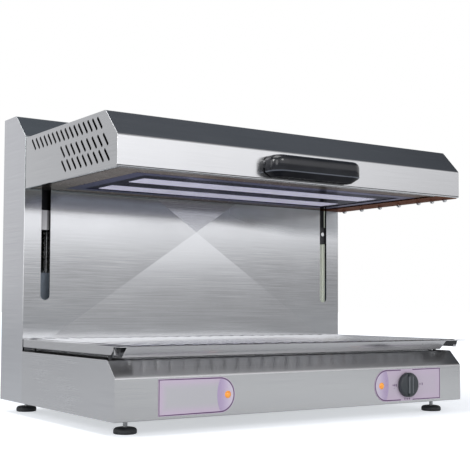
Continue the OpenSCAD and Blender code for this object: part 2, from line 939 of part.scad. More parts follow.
module handle_screws() {
  color("silver") placed()
    for (x = [-1, 1]) translate([x * (handle_l / 2 - 10), 0, handle_z]) {
      bar_y([0, head_y - 16, 0], 5.8, 16 + sheet + eps);
      bar_y([0, head_y + sheet, 0], 11, 3.5);
    }
}

// ---------- arms and carriages ----------

// The arm stands on a foot inside the head, passes through the slot and ends in a flange
module arm() {
  reach = 110;
  foot_w = 24;
  flange_y = plate_y - flange_t;
  color("dimgray") {
    box([slot_x - arm_t / 2, -reach, head_z + sheet],
        [slot_x + arm_t / 2, head_back - sheet, arm_z + arm_h]);
    box([slot_x - arm_t / 2, head_back - sheet - eps, arm_z],
        [slot_x + arm_t / 2, flange_y + eps, arm_z + arm_h]);
    box([slot_x - arm_t / 2, -reach, head_z + sheet],
        [slot_x + foot_w, head_back - 12, head_z + sheet + 4]);
    box([slot_x - 14, flange_y, arm_z], [carriage_out, plate_y, arm_z + arm_h]);
  }
}

module left_arm() placed() mirror([1, 0, 0]) arm();
module right_arm() placed() arm();

module bush_block(z) {
  difference() {
    box([carriage_in, block_y, z], [carriage_out, block_y + block_t, z + block_h]);
    bar_z([rod_x, rod_y, z - 1], bush_d, block_h + 2);
  }
}

// Carriage: a back plate with two bush blocks and a bright front pad on the lower one
module carriage() {
  front_pad = 6;
  color("#3a3c40") {
    box([carriage_in, plate_y, carriage_z], [carriage_out, block_y, carriage_z + carriage_h]);
    bush_block(carriage_z);
    bush_block(carriage_z + carriage_h - block_h);
    box([slot_x - 14, plate_y - front_pad, carriage_z], [carriage_out, plate_y + eps, carriage_z + block_h]);
  }
}

module left_carriage() placed() mirror([1, 0, 0]) carriage();
module right_carriage() placed() carriage();

module carriage_bushes() {
  color("tan") placed() both_sides()
    for (z = [carriage_z, carriage_z + carriage_h - block_h])
      difference() {
        bar_z([rod_x, rod_y, z], bush_d, block_h);
        bar_z([rod_x, rod_y, z - 1], rod_d + 2 * run_gap, block_h + 2);
      }
}

// Bolts that hold each arm's flange on its carriage, and the one in the right carriage's pad
module carriage_bolts() {
  color("silver") placed() both_sides() {
    for (z = [arm_z + 14, arm_z + arm_h - 14])
      bolt(slot_x - 9, plate_y - flange_t, z);
  }
  color("silver") placed() bolt(slot_x, plate_y - 6, carriage_z + block_h / 2 + 3);
}

module bolt(x, y, z) {
  translate([x, y - 3.5, z]) rotate([-90, 0, 0]) cylinder(d = 9, h = 3.5);
}

// Clamps between the front run of each cable and its carriage
module cable_clamps() {
  clamp_h = 20;
  z = head_z - 2;
  color("silver") placed() both_sides() difference() {
    box([cable_x - 6, block_y, z], [carriage_in + 8, rod_y + 8, z + clamp_h]);
    bar_z([cable_x, rod_y, z - 1], cable_d + 2 * run_gap, clamp_h + 2);
  }
}

// ---------- nodes ----------

base_shell();
base_plate();
column_shell();
rear_panel();
rear_screws();
left_label();
right_label();
left_lamp();
right_lamp();
heat_regulator();
mains_terminals();
cable_gland();
foot_nuts();
locating_posts();
guide_rods();
weight_rods();
supply_leads();
top_brackets();
bottom_brackets();
shaft_bearings();
idler_pins();
lift_cables();
sync_shaft();
left_pulley();
right_pulley();
left_idler();
right_idler();
left_counterweight();
right_counterweight();
regulator_shaft();
knob();
drip_tray();
cooking_grid();
grid_pads();
foot(left_foot_x, front_foot_y);  // front_left_foot
foot(right_foot_x, front_foot_y);  // front_right_foot
foot(left_foot_x, rear_foot_y);  // rear_left_foot
foot(right_foot_x, rear_foot_y);  // rear_right_foot
head_shell();
head_rear_panel();
head_underframe();
reflector();
window_trim();
front_strip();
rear_strip();
strip_holders();
insulation();
element_terminals();
terminal_cover();
cover_nuts();
handle_bow();
handle_plate();
handle_screws();
left_arm();
right_arm();
left_carriage();
right_carriage();
carriage_bushes();
carriage_bolts();
cable_clamps();
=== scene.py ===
# A cheese melter: a heated head slides on a rear column above a cooking grid and a base.
import math

import bmesh
import bpy
from mathutils import Matrix, Vector


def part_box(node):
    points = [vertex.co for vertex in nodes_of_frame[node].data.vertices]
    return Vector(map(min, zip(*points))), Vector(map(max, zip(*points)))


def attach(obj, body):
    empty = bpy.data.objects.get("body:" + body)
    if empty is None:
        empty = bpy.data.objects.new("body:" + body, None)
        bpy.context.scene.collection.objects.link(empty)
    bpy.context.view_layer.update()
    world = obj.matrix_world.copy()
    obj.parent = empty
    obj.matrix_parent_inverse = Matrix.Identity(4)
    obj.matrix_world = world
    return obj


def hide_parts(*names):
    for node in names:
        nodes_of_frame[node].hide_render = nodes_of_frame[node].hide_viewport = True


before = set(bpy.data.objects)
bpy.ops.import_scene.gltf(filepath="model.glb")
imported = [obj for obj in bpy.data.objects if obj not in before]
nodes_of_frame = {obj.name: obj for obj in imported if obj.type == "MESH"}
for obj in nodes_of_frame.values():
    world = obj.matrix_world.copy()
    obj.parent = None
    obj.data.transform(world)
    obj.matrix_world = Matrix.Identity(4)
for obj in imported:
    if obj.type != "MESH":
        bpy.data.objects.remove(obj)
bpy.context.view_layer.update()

mm = 0.001

# Sheet, folds and places that several pieces share
SHEET = 1.5 * mm
FOLD = 2.6 * mm
CORNER = 0.9 * mm
NEAR = 1e-5
SLOT_X, SLOT_LOW, SLOT_TOP = 0.354, 0.225, 0.526
PANEL_MIDDLE = 0.3755


# ---------- mesh helpers ----------

def only(kind, items):
    """The vertices, edges or faces among the results of an operator."""
    return [item for item in items if isinstance(item, kind)]


def verts_of(items):
    return only(bmesh.types.BMVert, items)


def edges_of(items):
    return only(bmesh.types.BMEdge, items)


def faces_of(items):
    return only(bmesh.types.BMFace, items)


def round_edges(bm, edges, radius, segments):
    """Round a set of edges and return the new faces."""
    return bmesh.ops.bevel(bm, geom=edges, offset=radius, offset_type="OFFSET", segments=segments,
                           profile=0.5, affect="EDGES", material=-1, clamp_overlap=True)["faces"]


def round_corners(bm, corners, radius, segments):
    """Round the corners of a flat outline."""
    bmesh.ops.bevel(bm, geom=corners, offset=radius, offset_type="OFFSET", segments=segments,
                    profile=0.5, affect="VERTICES", material=-1, clamp_overlap=True)


def add_block(bm, low, high):
    """Add a block between two corners and return its vertices."""
    low, high = Vector(low), Vector(high)
    place = Matrix.Translation((low + high) / 2) @ Matrix.Diagonal((*(high - low), 1))
    return bmesh.ops.create_cube(bm, size=1, matrix=place)["verts"]


def add_soft_block(bm, low, high, radius, segments=2):
    """Add a block with every edge rounded."""
    own = bmesh.new()
    add_block(own, low, high)
    round_edges(own, own.edges[:], radius, segments)
    pour(own, bm)


def mesh_of(name, bm):
    """Turn a bmesh into a new mesh."""
    mesh = bpy.data.meshes.new(name)
    bm.to_mesh(mesh)
    bm.free()
    return mesh


def add_object(name, data):
    """A new object at the origin, in the scene."""
    thing = bpy.data.objects.new(name, data)
    bpy.context.scene.collection.objects.link(thing)
    return thing


def middle_of(node):
    """The middle of a node's box."""
    low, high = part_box(node)
    return (low + high) / 2


def drop(bm, faces):
    """Delete faces, with the edges and points that only they use."""
    bmesh.ops.delete(bm, geom=faces, context="FACES")


def face_outwards(bm):
    bmesh.ops.recalc_face_normals(bm, faces=bm.faces)


def pour(source, target):
    """Move all of one mesh into another."""
    carrier = mesh_of("carrier", source)
    target.from_mesh(carrier)
    bpy.data.meshes.remove(carrier)


def push(bm, face, step):
    """Pull a flat face along a step so that it becomes a closed body."""
    pulled = bmesh.ops.extrude_face_region(bm, geom=[face])
    bmesh.ops.translate(bm, verts=verts_of(pulled["geom"]), vec=step)
    face_outwards(bm)


def inward(radius, *steps):
    """Part of an outline, as steps in from a radius and up, in millimetres."""
    return [(radius - step * mm, height * mm) for step, height in steps]


def turn(outline, centre, axis, steps):
    """Spin an outline of radius and height pairs about an axis through a centre point."""
    bm = bmesh.new()
    centre, axis = Vector(centre), Vector(axis).normalized()
    side = Vector((0, 0, 1)) if abs(axis.z) < 0.5 else Vector((1, 0, 0))
    rim = [bm.verts.new(centre + side * radius + axis * height) for radius, height in outline]
    lines = [bm.edges.new(pair) for pair in zip(rim, rim[1:])]
    bmesh.ops.spin(bm, geom=rim + lines, cent=centre, axis=axis, angle=2 * math.pi, steps=steps, use_merge=True)
    bmesh.ops.remove_doubles(bm, verts=bm.verts, dist=1e-6)
    face_outwards(bm)
    return bm


def slice_off(bm, point, normal):
    """Cut away the side that the normal points to and close the cut."""
    geometry = bm.verts[:] + bm.edges[:] + bm.faces[:]
    cut = bmesh.ops.bisect_plane(bm, geom=geometry, plane_co=point, plane_no=normal, clear_outer=True)
    bmesh.ops.holes_fill(bm, edges=edges_of(cut["geom_cut"]))
    face_outwards(bm)


def score(bm, point, normal, faces=None):
    """Cut a line across faces without parting them."""
    geometry = set(faces or bm.faces)
    for face in list(geometry):
        geometry.update(face.edges)
        geometry.update(face.verts)
    bmesh.ops.bisect_plane(bm, geom=list(geometry), plane_co=point, plane_no=normal)


def finish_mesh(mesh, sharp_angle):
    """Smooth a mesh and keep the edges that turn more than an angle sharp."""
    mesh.shade_smooth()
    mesh.set_sharp_from_angle(angle=math.radians(sharp_angle))


def make_piece(name, bm, body, finishes, sharp_angle=32, replaced=()):
    """Turn a bmesh into a piece that rides on a body and wears its finishes."""
    mesh = mesh_of(name, bm)
    for finish in finishes:
        mesh.materials.append(finish)
    piece = add_object(name, mesh)
    finish_mesh(mesh, sharp_angle)
    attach(piece, body)
    if replaced:
        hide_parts(*replaced)
    return piece


def settle(piece, sharp_angle=32):
    """Make the piece's modifiers part of its mesh."""
    bpy.context.view_layer.update()
    seen = piece.evaluated_get(bpy.context.evaluated_depsgraph_get())
    mesh = bpy.data.meshes.new_from_object(seen)
    old = piece.data
    piece.modifiers.clear()
    piece.data = mesh
    mesh.name = piece.name
    bpy.data.meshes.remove(old)
    finish_mesh(mesh, sharp_angle)


def give_wall(piece, thickness, even=True):
    """Thicken an open shell inwards."""
    wall = piece.modifiers.new("wall", "SOLIDIFY")
    wall.thickness = thickness
    wall.offset = -1
    wall.use_even_offset = even


def cut_out(piece, cutters, operation="DIFFERENCE"):
    """Cut a mesh of cutters out of a piece, or keep only what lies in them."""
    mesh = mesh_of("cutters", cutters)
    tool = add_object("cutters", mesh)
    cut = piece.modifiers.new("cut", "BOOLEAN")
    cut.operation = operation
    cut.solver = "EXACT"
    cut.object = tool
    settle(piece)
    bpy.data.objects.remove(tool)
    bpy.data.meshes.remove(mesh)


def even_shading(piece):
    """Keep large flats flat beside their rounded folds."""
    even = piece.modifiers.new("even shading", "WEIGHTED_NORMAL")
    even.keep_sharp = True
    even.weight = 60


def sort_sides(piece):
    """Give the faces that look sideways the second finish, and all others the first."""
    for face in piece.data.polygons:
        face.material_index = 1 if abs(face.normal.x) > 0.75 else 0


def sort_faces(piece, *rules):
    """Give each face the number of the first rule that it meets, and leave the others."""
    for face in piece.data.polygons:
        for number, rule in rules:
            if rule(face):
                face.material_index = number
                break


def on_slope(face):
    """Whether a face looks forward and up."""
    return face.normal.y < -0.3 and face.normal.z > 0.3


def darken_inside(piece, low, high):
    """Give the faces that look into a casing the third finish."""
    middle = (low + high) / 2
    reach = (high - low) / 2
    for face in piece.data.polygons:
        off = face.center - middle
        axis = max(range(3), key=lambda i: abs(face.normal[i]))
        inward_looking = face.normal[axis] * off[axis] < 0
        if inward_looking and reach[axis] - abs(off[axis]) > 0.6 * mm:
            face.material_index = 2


# ---------- finishes ----------

WHITE = (1.0, 1.0, 1.0)
BLACK = (0.0, 0.0, 0.0)


def feed(tree, node, feeds):
    """Give each socket of a node its plain value, or the output that it is linked to."""
    for socket, value in feeds.items():
        if isinstance(value, bpy.types.NodeSocket):
            tree.links.new(value, node.inputs[socket])
        else:
            node.inputs[socket].default_value = value


def add_node(tree, kind, feeds, **settings):
    """Add a shader node with its settings and what goes into its sockets."""
    node = tree.nodes.new("ShaderNode" + kind)
    for setting, value in settings.items():
        setattr(node, setting, value)
    feed(tree, node, feeds)
    return node


def set_on(finish, values):
    """Set plain values on a finish's shader and hand the finish back."""
    tree = finish.node_tree
    feed(tree, tree.nodes["Principled BSDF"], values)
    return finish


def start_finish(name, colour, metallic, roughness):
    """A new finish with its plain values on the shader."""
    finish = bpy.data.materials.new(name)
    finish.use_nodes = True
    finish.diffuse_color = (*colour, 1)
    set_on(finish, {"Base Color": (*colour, 1), "Metallic": metallic, "Roughness": roughness})
    return finish, finish.node_tree, finish.node_tree.nodes["Principled BSDF"]


def object_place(tree):
    return tree.nodes.new("ShaderNodeTexCoord").outputs["Object"]


def noise(tree, scale, detail=2.0, roughness=0.5):
    """Noise over the piece, with one scale or one for each axis."""
    scales = scale if isinstance(scale, tuple) else (scale,) * 3
    mapping = add_node(tree, "Mapping", {"Vector": object_place(tree), "Scale": scales})
    return add_node(tree, "TexNoise", {"Vector": mapping.outputs["Vector"], "Scale": 1.0,
                                       "Detail": detail, "Roughness": roughness}).outputs[0]


def spread(tree, value, low, high, from_low=0.3, from_high=0.7):
    """Stretch a value from one range to another."""
    return add_node(tree, "MapRange", {"Value": value, "From Min": from_low, "From Max": from_high,
                                       "To Min": low, "To Max": high}).outputs["Result"]


def rise(tree, value, start, end):
    """From 0 to 1 as a value goes from a start to an end."""
    return spread(tree, value, 0.0, 1.0, start, end)


def fall(tree, value, start, end):
    return spread(tree, value, 1.0, 0.0, start, end)


def ramp(tree, value, stops, smooth=False):
    """Colour a value by stops of place and colour."""
    node = tree.nodes.new("ShaderNodeValToRGB")
    if smooth:
        node.color_ramp.interpolation = "EASE"
    marks = node.color_ramp.elements
    while len(marks) < len(stops):
        marks.new(0.5)
    for mark, (place, colour) in zip(marks, stops):
        mark.position = place
        mark.color = (*colour, 1)
    tree.links.new(value, node.inputs["Fac"])
    return node.outputs["Color"]


def greys(*stops):
    return [(place, (tone, tone, tone * 1.01)) for place, tone in stops]


def math_node(tree, operation, first, second=0.0):
    """Arithmetic on values that are numbers or outputs."""
    return add_node(tree, "Math", {0: first, 1: second}, operation=operation).outputs[0]


def blend_colours(tree, factor, first, second, mode="MIX"):
    """Mix two colours; each is an output or a plain colour, and the factor an output or a number."""
    first, second = [(*colour, 1) if isinstance(colour, tuple) else colour for colour in (first, second)]
    node = add_node(tree, "Mix", {0: factor, 6: first, 7: second}, data_type="RGBA", blend_type=mode)
    return node.outputs[2]


def tinted(tree, colour, veil):
    """Lay a colour over another as a filter."""
    return blend_colours(tree, 1.0, colour, veil, "MULTIPLY")


def scaled(colour, share, lift=0.0):
    """A plain colour made darker or paler."""
    return tuple(min(1.0, part * share + lift) for part in colour)


def bumpy(tree, shader, height, strength, distance):
    relief = add_node(tree, "Bump", {"Height": height, "Strength": strength, "Distance": distance})
    tree.links.new(relief.outputs["Normal"], shader.inputs["Normal"])


def parts_of(tree, place):
    """The X, Y and Z of a place or a direction, each as a value."""
    return add_node(tree, "SeparateXYZ", {0: place}).outputs


def place_on_axis(tree, axis):
    """The object's own X, Y or Z as a value."""
    return parts_of(tree, object_place(tree))[axis]


def measure(tree, operation, place, other=(0, 0, 0)):
    """A distance, length or dot product as a value."""
    return add_node(tree, "VectorMath", {0: place, 1: other}, operation=operation).outputs["Value"]


def product(tree, *values):
    """All of some values multiplied together."""
    total = values[0]
    for value in values[1:]:
        total = math_node(tree, "MULTIPLY", total, value)
    return total


def lay_grain(tree, shader, direction):
    """Stretch the gloss across the grain: the direction is the one that highlights run in."""
    tangent = add_node(tree, "CombineXYZ", dict(enumerate(direction)))
    feed(tree, shader, {"Tangent": tangent.outputs[0], "Anisotropic": 0.55})


def brushed_steel(name, tone, grain, roughness, dull_above=None, shade=None):
    """Ground stainless sheet. The grain runs along X, or along Y on sheets that look sideways.
    A shade is painted light and shade: an axis, the two places on it and the stops of grey between them."""
    finish, tree, shader = start_finish(name, tone, 1.0, roughness)
    on_x = grain == "x"
    lines = noise(tree, (7, 900, 900) if on_x else (900, 7, 900))
    bands = noise(tree, (1.3, 26, 26) if on_x else (26, 1.6, 26), 3.0)
    smears = noise(tree, 6, 4.0, 0.6)
    colour = ramp(tree, lines, [(0.3, scaled(tone, 0.95)), (0.7, scaled(tone, 1.04))])
    colour = tinted(tree, colour, ramp(tree, bands, [(0.3, (0.975, 0.975, 0.98)), (0.7, WHITE)]))
    # Painted light and shade: the tone is multiplied by grey stops along one axis.
    if shade:
        axis, start, end, stops = shade
        along = rise(tree, place_on_axis(tree, axis), start, end)
        colour = tinted(tree, colour, ramp(tree, along, greys(*stops)))
    rough = math_node(tree, "ADD", spread(tree, lines, roughness - 0.02, roughness + 0.03),
                      spread(tree, smears, -0.01, 0.02))
    # Above a height: heat dulling together with painted shade from the head.
    if dull_above:
        heat, haze_and_shade, metal = heat_haze_and_painted_shade(tree, dull_above)
        tree.links.new(metal, shader.inputs["Metallic"])
        colour = tinted(tree, colour, haze_and_shade)
        rough = math_node(tree, "ADD", rough, product(tree, heat, 0.1))
    feed(tree, shader, {"Base Color": colour, "Roughness": rough})
    bumpy(tree, shader, lines, 0.03, 0.0001)
    lay_grain(tree, shader, (0, 1, 1) if on_x else (0, 0, 1))
    return finish


def heat_haze_and_painted_shade(tree, height):
    """Where heat has dulled the steel above a height and the head's shade is painted on it: its share, its tone
    and the metal that is left.
    To the right it begins a little lower, is paler and hides more of the metal."""
    soft, lower, most = 0.014, 0.026, 0.8
    to_right = rise(tree, place_on_axis(tree, 0), 0.0, 0.26)
    raised = math_node(tree, "ADD", place_on_axis(tree, 2), product(tree, to_right, lower))
    heat = rise(tree, raised, height - soft, height + soft)
    tone = ramp(tree, to_right, [(0.0, (0.62, 0.66, 0.655)), (1.0, (0.9, 0.92, 0.92))])
    film = product(tree, to_right, most, heat)
    return heat, blend_colours(tree, heat, WHITE, tone), math_node(tree, "SUBTRACT", 1.0, film)


def mottled(name, plain, broad, stops, gloss=None, fine=None, relief=None, fine_gloss=False):
    """A finish whose colour follows a broad noise, and its gloss and relief that noise or a finer one.
    Plain is the bare shader's colour, metal and roughness. A noise is its scale, detail and roughness.
    Gloss is the roughness at both ends of the noise, and relief the bump's strength and depth."""
    finish, tree, shader = start_finish(name, *plain)
    marks = noise(tree, *broad)
    grain = noise(tree, *fine) if fine else marks
    tree.links.new(ramp(tree, marks, stops), shader.inputs["Base Color"])
    if gloss:
        tree.links.new(spread(tree, grain if fine_gloss else marks, *gloss), shader.inputs["Roughness"])
    if relief:
        bumpy(tree, shader, grain, *relief)
    return finish


def bright_metal(name, tone, roughness):
    """Turned or drawn bright metal with fine handling marks."""
    return mottled(name, (tone, 1.0, roughness), (220, 4.0, 0.6), [(0.3, scaled(tone, 0.85)), (0.65, tone)],
                   gloss=(roughness + 0.07, roughness - 0.03), relief=(0.04, 0.0003))


def painted_metal(name, colour, roughness):
    """Paint on metal with a fine orange peel and a little dust."""
    return mottled(name, (colour, 0.0, roughness), (18, 4.0, 0.6),
                   [(0.35, colour), (0.75, scaled(colour, 1.35, 0.012))],
                   gloss=(roughness - 0.05, roughness + 0.1), fine=(700,), relief=(0.12, 0.0004))


def cast_iron(name, colour):
    return mottled(name, (colour, 0.7, 0.5), (45, 3.0), [(0.3, colour), (0.7, scaled(colour, 1.5))],
                   gloss=(0.4, 0.62), fine=(900, 3.0, 0.6), relief=(0.25, 0.0005), fine_gloss=True)


def moulding(name, colour, roughness, coat=0.0, shine=0.5, texture=0.06):
    """Moulded plastic with a fine spark texture."""
    finish = mottled(name, (colour, 0.0, roughness), (30, 4.0, 0.6),
                     [(0.35, colour), (0.8, scaled(colour, 1.25, 0.006))],
                     gloss=(roughness - 0.04, roughness + 0.08), fine=(1400,), relief=(texture, 0.0002))
    return set_on(finish, {"Specular IOR Level": shine, "Coat Weight": coat, "Coat Roughness": 0.06})


def heat_tint(name, stops, roughness, edge_tint):
    """Polished sheet that heat has coloured, changing across the machine."""
    finish, tree, shader = start_finish(name, stops[0][1], 1.0, roughness)
    across = rise(tree, place_on_axis(tree, 0), -0.4, 0.4)
    cloud = noise(tree, 9, 4.0, 0.6)
    stain = noise(tree, 34, 5.0, 0.65)
    colour = ramp(tree, math_node(tree, "ADD", across, spread(tree, cloud, -0.09, 0.09)), stops)
    veil = ramp(tree, stain, [(0.3, (0.72, 0.66, 0.64)), (0.62, WHITE)])
    feed(tree, shader, {"Base Color": tinted(tree, colour, veil),
                        "Roughness": spread(tree, stain, roughness + 0.1, roughness - 0.03),
                        "Specular Tint": (*edge_tint, 1)})
    bumpy(tree, shader, cloud, 0.1, 0.002)
    return finish


def ceramic(name, colour, roughness):
    """Fired ceramic with fine pores and clouds of tone."""
    return mottled(name, (colour, 0.0, roughness), ((14, 60, 60), 3.0),
                   [(0.3, scaled(colour, 0.82)), (0.65, colour)],
                   gloss=(roughness - 0.05, roughness + 0.12), fine=(500, 4.0, 0.7), relief=(0.1, 0.0003),
                   fine_gloss=True)


def felt(name, colour):
    """Ceramic fibre, as a blanket or a sleeve."""
    finish = mottled(name, (colour, 0.0, 0.95), ((90, 500, 300), 5.0, 0.7),
                     [(0.3, scaled(colour, 0.7)), (0.6, colour)], relief=(0.6, 0.002))
    return set_on(finish, {"Sheen Weight": 0.3})


def stranded_wire(name):
    """Wire rope: the strands cross the cable's run as slanting bands."""
    finish, tree, shader = start_finish(name, (0.55, 0.56, 0.57), 1.0, 0.34)
    place = add_node(tree, "Mapping", {"Vector": object_place(tree), "Rotation": (0.6, 0.6, 0)})
    strands = add_node(tree, "TexWave", {"Vector": place.outputs[0], "Scale": 260, "Distortion": 0.4},
                       bands_direction="Z").outputs[1]
    colour = ramp(tree, strands, [(0.2, (0.2, 0.2, 0.21)), (0.6, (0.6, 0.61, 0.62))])
    tree.links.new(colour, shader.inputs["Base Color"])
    bumpy(tree, shader, strands, 0.6, 0.0005)
    return finish


def wire_cloth(name):
    """Dark woven wire that lets a little light through its meshes."""
    finish, tree, shader = start_finish(name, (0.1, 0.1, 0.105), 0.8, 0.5)
    weave = add_node(tree, "TexChecker", {"Vector": object_place(tree), "Scale": 1600,
                                          "Color1": (0.3, 0.3, 0.31, 1), "Color2": (0.06, 0.06, 0.065, 1)})
    gaps = noise(tree, 60, 3.0)
    feed(tree, shader, {"Base Color": weave.outputs["Color"], "Alpha": spread(tree, gaps, 0.92, 0.74)})
    return finish


def label_foil(name, middle, half_l, half_h, middle_tone):
    """Printed foil: a plain tone in the middle and lilac towards its rim."""
    finish, tree, shader = start_finish(name, (0.5, 0.48, 0.53), 0.0, 0.42)
    past = []
    for axis, half in ((0, half_l), (2, half_h)):
        off = math_node(tree, "SUBTRACT", place_on_axis(tree, axis), middle[axis])
        off = math_node(tree, "ABSOLUTE", off)
        past.append(math_node(tree, "SUBTRACT", off, half))
    rim = rise(tree, math_node(tree, "MAXIMUM", *past), -0.02, -0.001)
    grain = noise(tree, 1200)
    print_tone = ramp(tree, rim, [(0.0, middle_tone), (1.0, (0.58, 0.48, 0.6))], smooth=True)
    veil = ramp(tree, grain, [(0.3, (0.95, 0.95, 0.95)), (0.7, WHITE)])
    feed(tree, shader, {"Base Color": tinted(tree, print_tone, veil),
                        "Roughness": spread(tree, grain, 0.36, 0.48),
                        "Coat Weight": 0.25, "Coat Roughness": 0.2})
    return finish


def bright_padded(name, top, sides):
    """Dark steel whose pad, below a height, is polished bright and carries upright bands of painted light and
    shade.
    """
    finish, tree, shader = start_finish(name, (0.7, 0.71, 0.72), 1.0, 0.3)
    soft = 0.5 * mm
    across, _, height = parts_of(tree, object_place(tree))
    below = ramp(tree, fall(tree, height, top - soft, top + soft), [(0.0, BLACK), (1.0, WHITE)])
    painted_bands = ramp(tree, rise(tree, across, *sides), greys((0.0, 0.9), (0.16, 0.95), (0.2, 0.3), (0.25, 0.6),
                                                          (0.6, 0.7), (0.66, 0.25), (1.0, 0.2)))
    marks = noise(tree, (300, 300, 40), 3.0, 0.6)
    feed(tree, shader, {"Base Color": blend_colours(tree, below, (0.02, 0.021, 0.023), painted_bands),
                        "Roughness": spread(tree, marks, 0.42, 0.3)})
    bumpy(tree, shader, marks, 0.05, 0.0003)
    return finish


def print_ink_and_highlight(name, colour):
    """Screen-printed ink with a slightly uneven tone; the pale one is a painted highlight on the knob."""
    return mottled(name, (colour, 0.0, 0.45), (900, 3.0), [(0.35, colour), (0.75, scaled(colour, 1.3, 0.01))],
                   gloss=(0.4, 0.52))


def dotted_ink(name, start_x, end_x):
    """A screen of lilac dots that thins out from one side to the other."""
    finish, tree, shader = start_finish(name, (0.45, 0.36, 0.52), 0.0, 0.45)
    turned = add_node(tree, "Mapping", {"Vector": object_place(tree), "Rotation": (0, math.radians(45), 0),
                                        "Scale": (1, 0, 1)})
    dots = add_node(tree, "TexVoronoi", {"Vector": turned.outputs[0], "Scale": 620, "Randomness": 0.0})
    fade = rise(tree, place_on_axis(tree, 0), start_x, end_x)
    mark = ramp(tree, dots.outputs["Distance"], [(0.36, (0.3, 0.2, 0.4)), (0.5, (0.62, 0.54, 0.68))])
    ground = ramp(tree, fade, [(0.0, (0.42, 0.33, 0.5)), (0.55, (0.58, 0.5, 0.64)),
                               (1.0, (0.62, 0.56, 0.66))])
    strength = ramp(tree, fade, [(0.15, (0.9, 0.9, 0.9)), (0.8, BLACK)])
    tree.links.new(blend_colours(tree, strength, ground, mark), shader.inputs["Base Color"])
    return finish


def lamp_lens(name):
    """Orange pilot lamp cap, cloudy in tone and faintly lit from inside."""
    finish = mottled(name, ((0.9, 0.3, 0.03), 0.0, 0.22), (160, 3.0),
                     [(0.3, (0.85, 0.22, 0.02)), (0.6, (1.0, 0.42, 0.05))], gloss=(0.16, 0.3))
    return set_on(finish, {"Coat Weight": 0.6, "Emission Color": (1.0, 0.38, 0.05, 1),
                           "Emission Strength": 0.12})


def rubber(name):
    return mottled(name, ((0.018, 0.019, 0.021), 0.0, 0.6), (60, 4.0, 0.65),
                   [(0.4, (0.014, 0.015, 0.017)), (0.75, (0.05, 0.052, 0.058))],
                   gloss=(0.45, 0.75), fine=(800, 3.0, 0.6), relief=(0.2, 0.0004))


HEAD_FRONT = brushed_steel("head sheet front", (0.72, 0.725, 0.735), "x", 0.2)
# The head's slope is painted darker towards the right: painted shade.
HEAD_SLOPE = brushed_steel("head slope", (0.72, 0.725, 0.735), "x", 0.2,
                           shade=(0, 0.0, 0.4, ((0.0, 0.93), (0.5, 0.82), (1.0, 0.62))))
# A near-black copy of the head's steel for the upper faces of the rolled hem: a painted shadow line.
HEAD_HEM_SHADE = brushed_steel("head hem shade", (0.1, 0.102, 0.105), "x", 0.24)
# The head's side is a darker copy of its front's steel: painted shade.
HEAD_SIDE_SHADED = brushed_steel("head sheet side shaded", (0.62, 0.63, 0.64), "y", 0.22)
HEAD_INSIDE = painted_metal("sooted inside", (0.012, 0.012, 0.013), 0.7)
# Its top under the head carries heat dulling and painted shade from the head.
COLUMN_FRONT = brushed_steel("column sheet front", (0.655, 0.665, 0.68), "x", 0.09, dull_above=0.415)
# A much lighter copy of the column's steel for the facet that looks a little down, fading dark towards the
# head: painted light and painted shade.
COLUMN_LIT_FACET = brushed_steel("column facet painted lighter", (0.93, 0.94, 0.955), "x", 0.25,
                              shade=(2, 0.415, 0.425, ((0.0, 1.0), (1.0, 0.42))))
COLUMN_SLOPE = brushed_steel("column slope", (0.74, 0.77, 0.78), "x", 0.14)
# The column's side is painted a little darker towards the bottom: painted shade.
COLUMN_SIDE = brushed_steel("column sheet side", (0.66, 0.67, 0.69), "y", 0.22,
                            shade=(2, 0.12, 0.5, ((0.0, 0.95), (1.0, 1.0))))
BASE_FRONT = brushed_steel("base sheet front", (0.6, 0.605, 0.61), "x", 0.22)
# The base's slope is painted darker towards the right: painted shade.
BASE_SLOPE = brushed_steel("base sheet slope", (0.66, 0.66, 0.66), "x", 0.32,
                           shade=(0, 0.05, 0.4, ((0.0, 0.92), (0.7, 0.7), (1.0, 0.4))))
BASE_SIDE = brushed_steel("base sheet side", (0.6, 0.605, 0.62), "y", 0.24)
# A near-black copy of the base's steel for the deck under the grid: painted shade.
BASE_DECK_SHADE = set_on(brushed_steel("base deck shade", (0.08, 0.075, 0.07), "x", 0.3),
                   {"Specular Tint": (0.08, 0.075, 0.07, 1)})
GRID_LIP = brushed_steel("grid lip steel", (0.6, 0.6, 0.61), "x", 0.24)
PLAIN_SHEET = brushed_steel("plain sheet", (0.56, 0.57, 0.58), "x", 0.26)
GRID_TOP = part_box("cooking_grid")[1].z
# The flat plate between the ribs is painted darker than the ribs: painted shade.
GROOVE_SHADE = (2, GRID_TOP - 3.6 * mm, GRID_TOP, ((0.3, 1.0), (0.4, 0.28), (0.62, 0.34), (0.76, 1.0)))
GRID_STEEL = set_on(brushed_steel("grid steel", (0.9, 0.905, 0.91), "y", 0.07, shade=GROOVE_SHADE),
                    {"Anisotropic": 0.0})
TRAY_STEEL = brushed_steel("tray steel", (0.6, 0.61, 0.62), "x", 0.24)
BRIGHT_STEEL = bright_metal("bright steel", (0.74, 0.75, 0.76), 0.18)
HOLDER_STEEL = bright_metal("screw steel", (0.62, 0.63, 0.64), 0.28)
WIRE = stranded_wire("wire rope")
# The leads' sleeve glows faintly though nothing lights it: painted light.
GLOWING_SLEEVE = set_on(felt("fibre sleeve glow", (0.9, 0.92, 0.86)),
                {"Emission Color": (0.84, 0.9, 0.78, 1), "Emission Strength": 0.3})
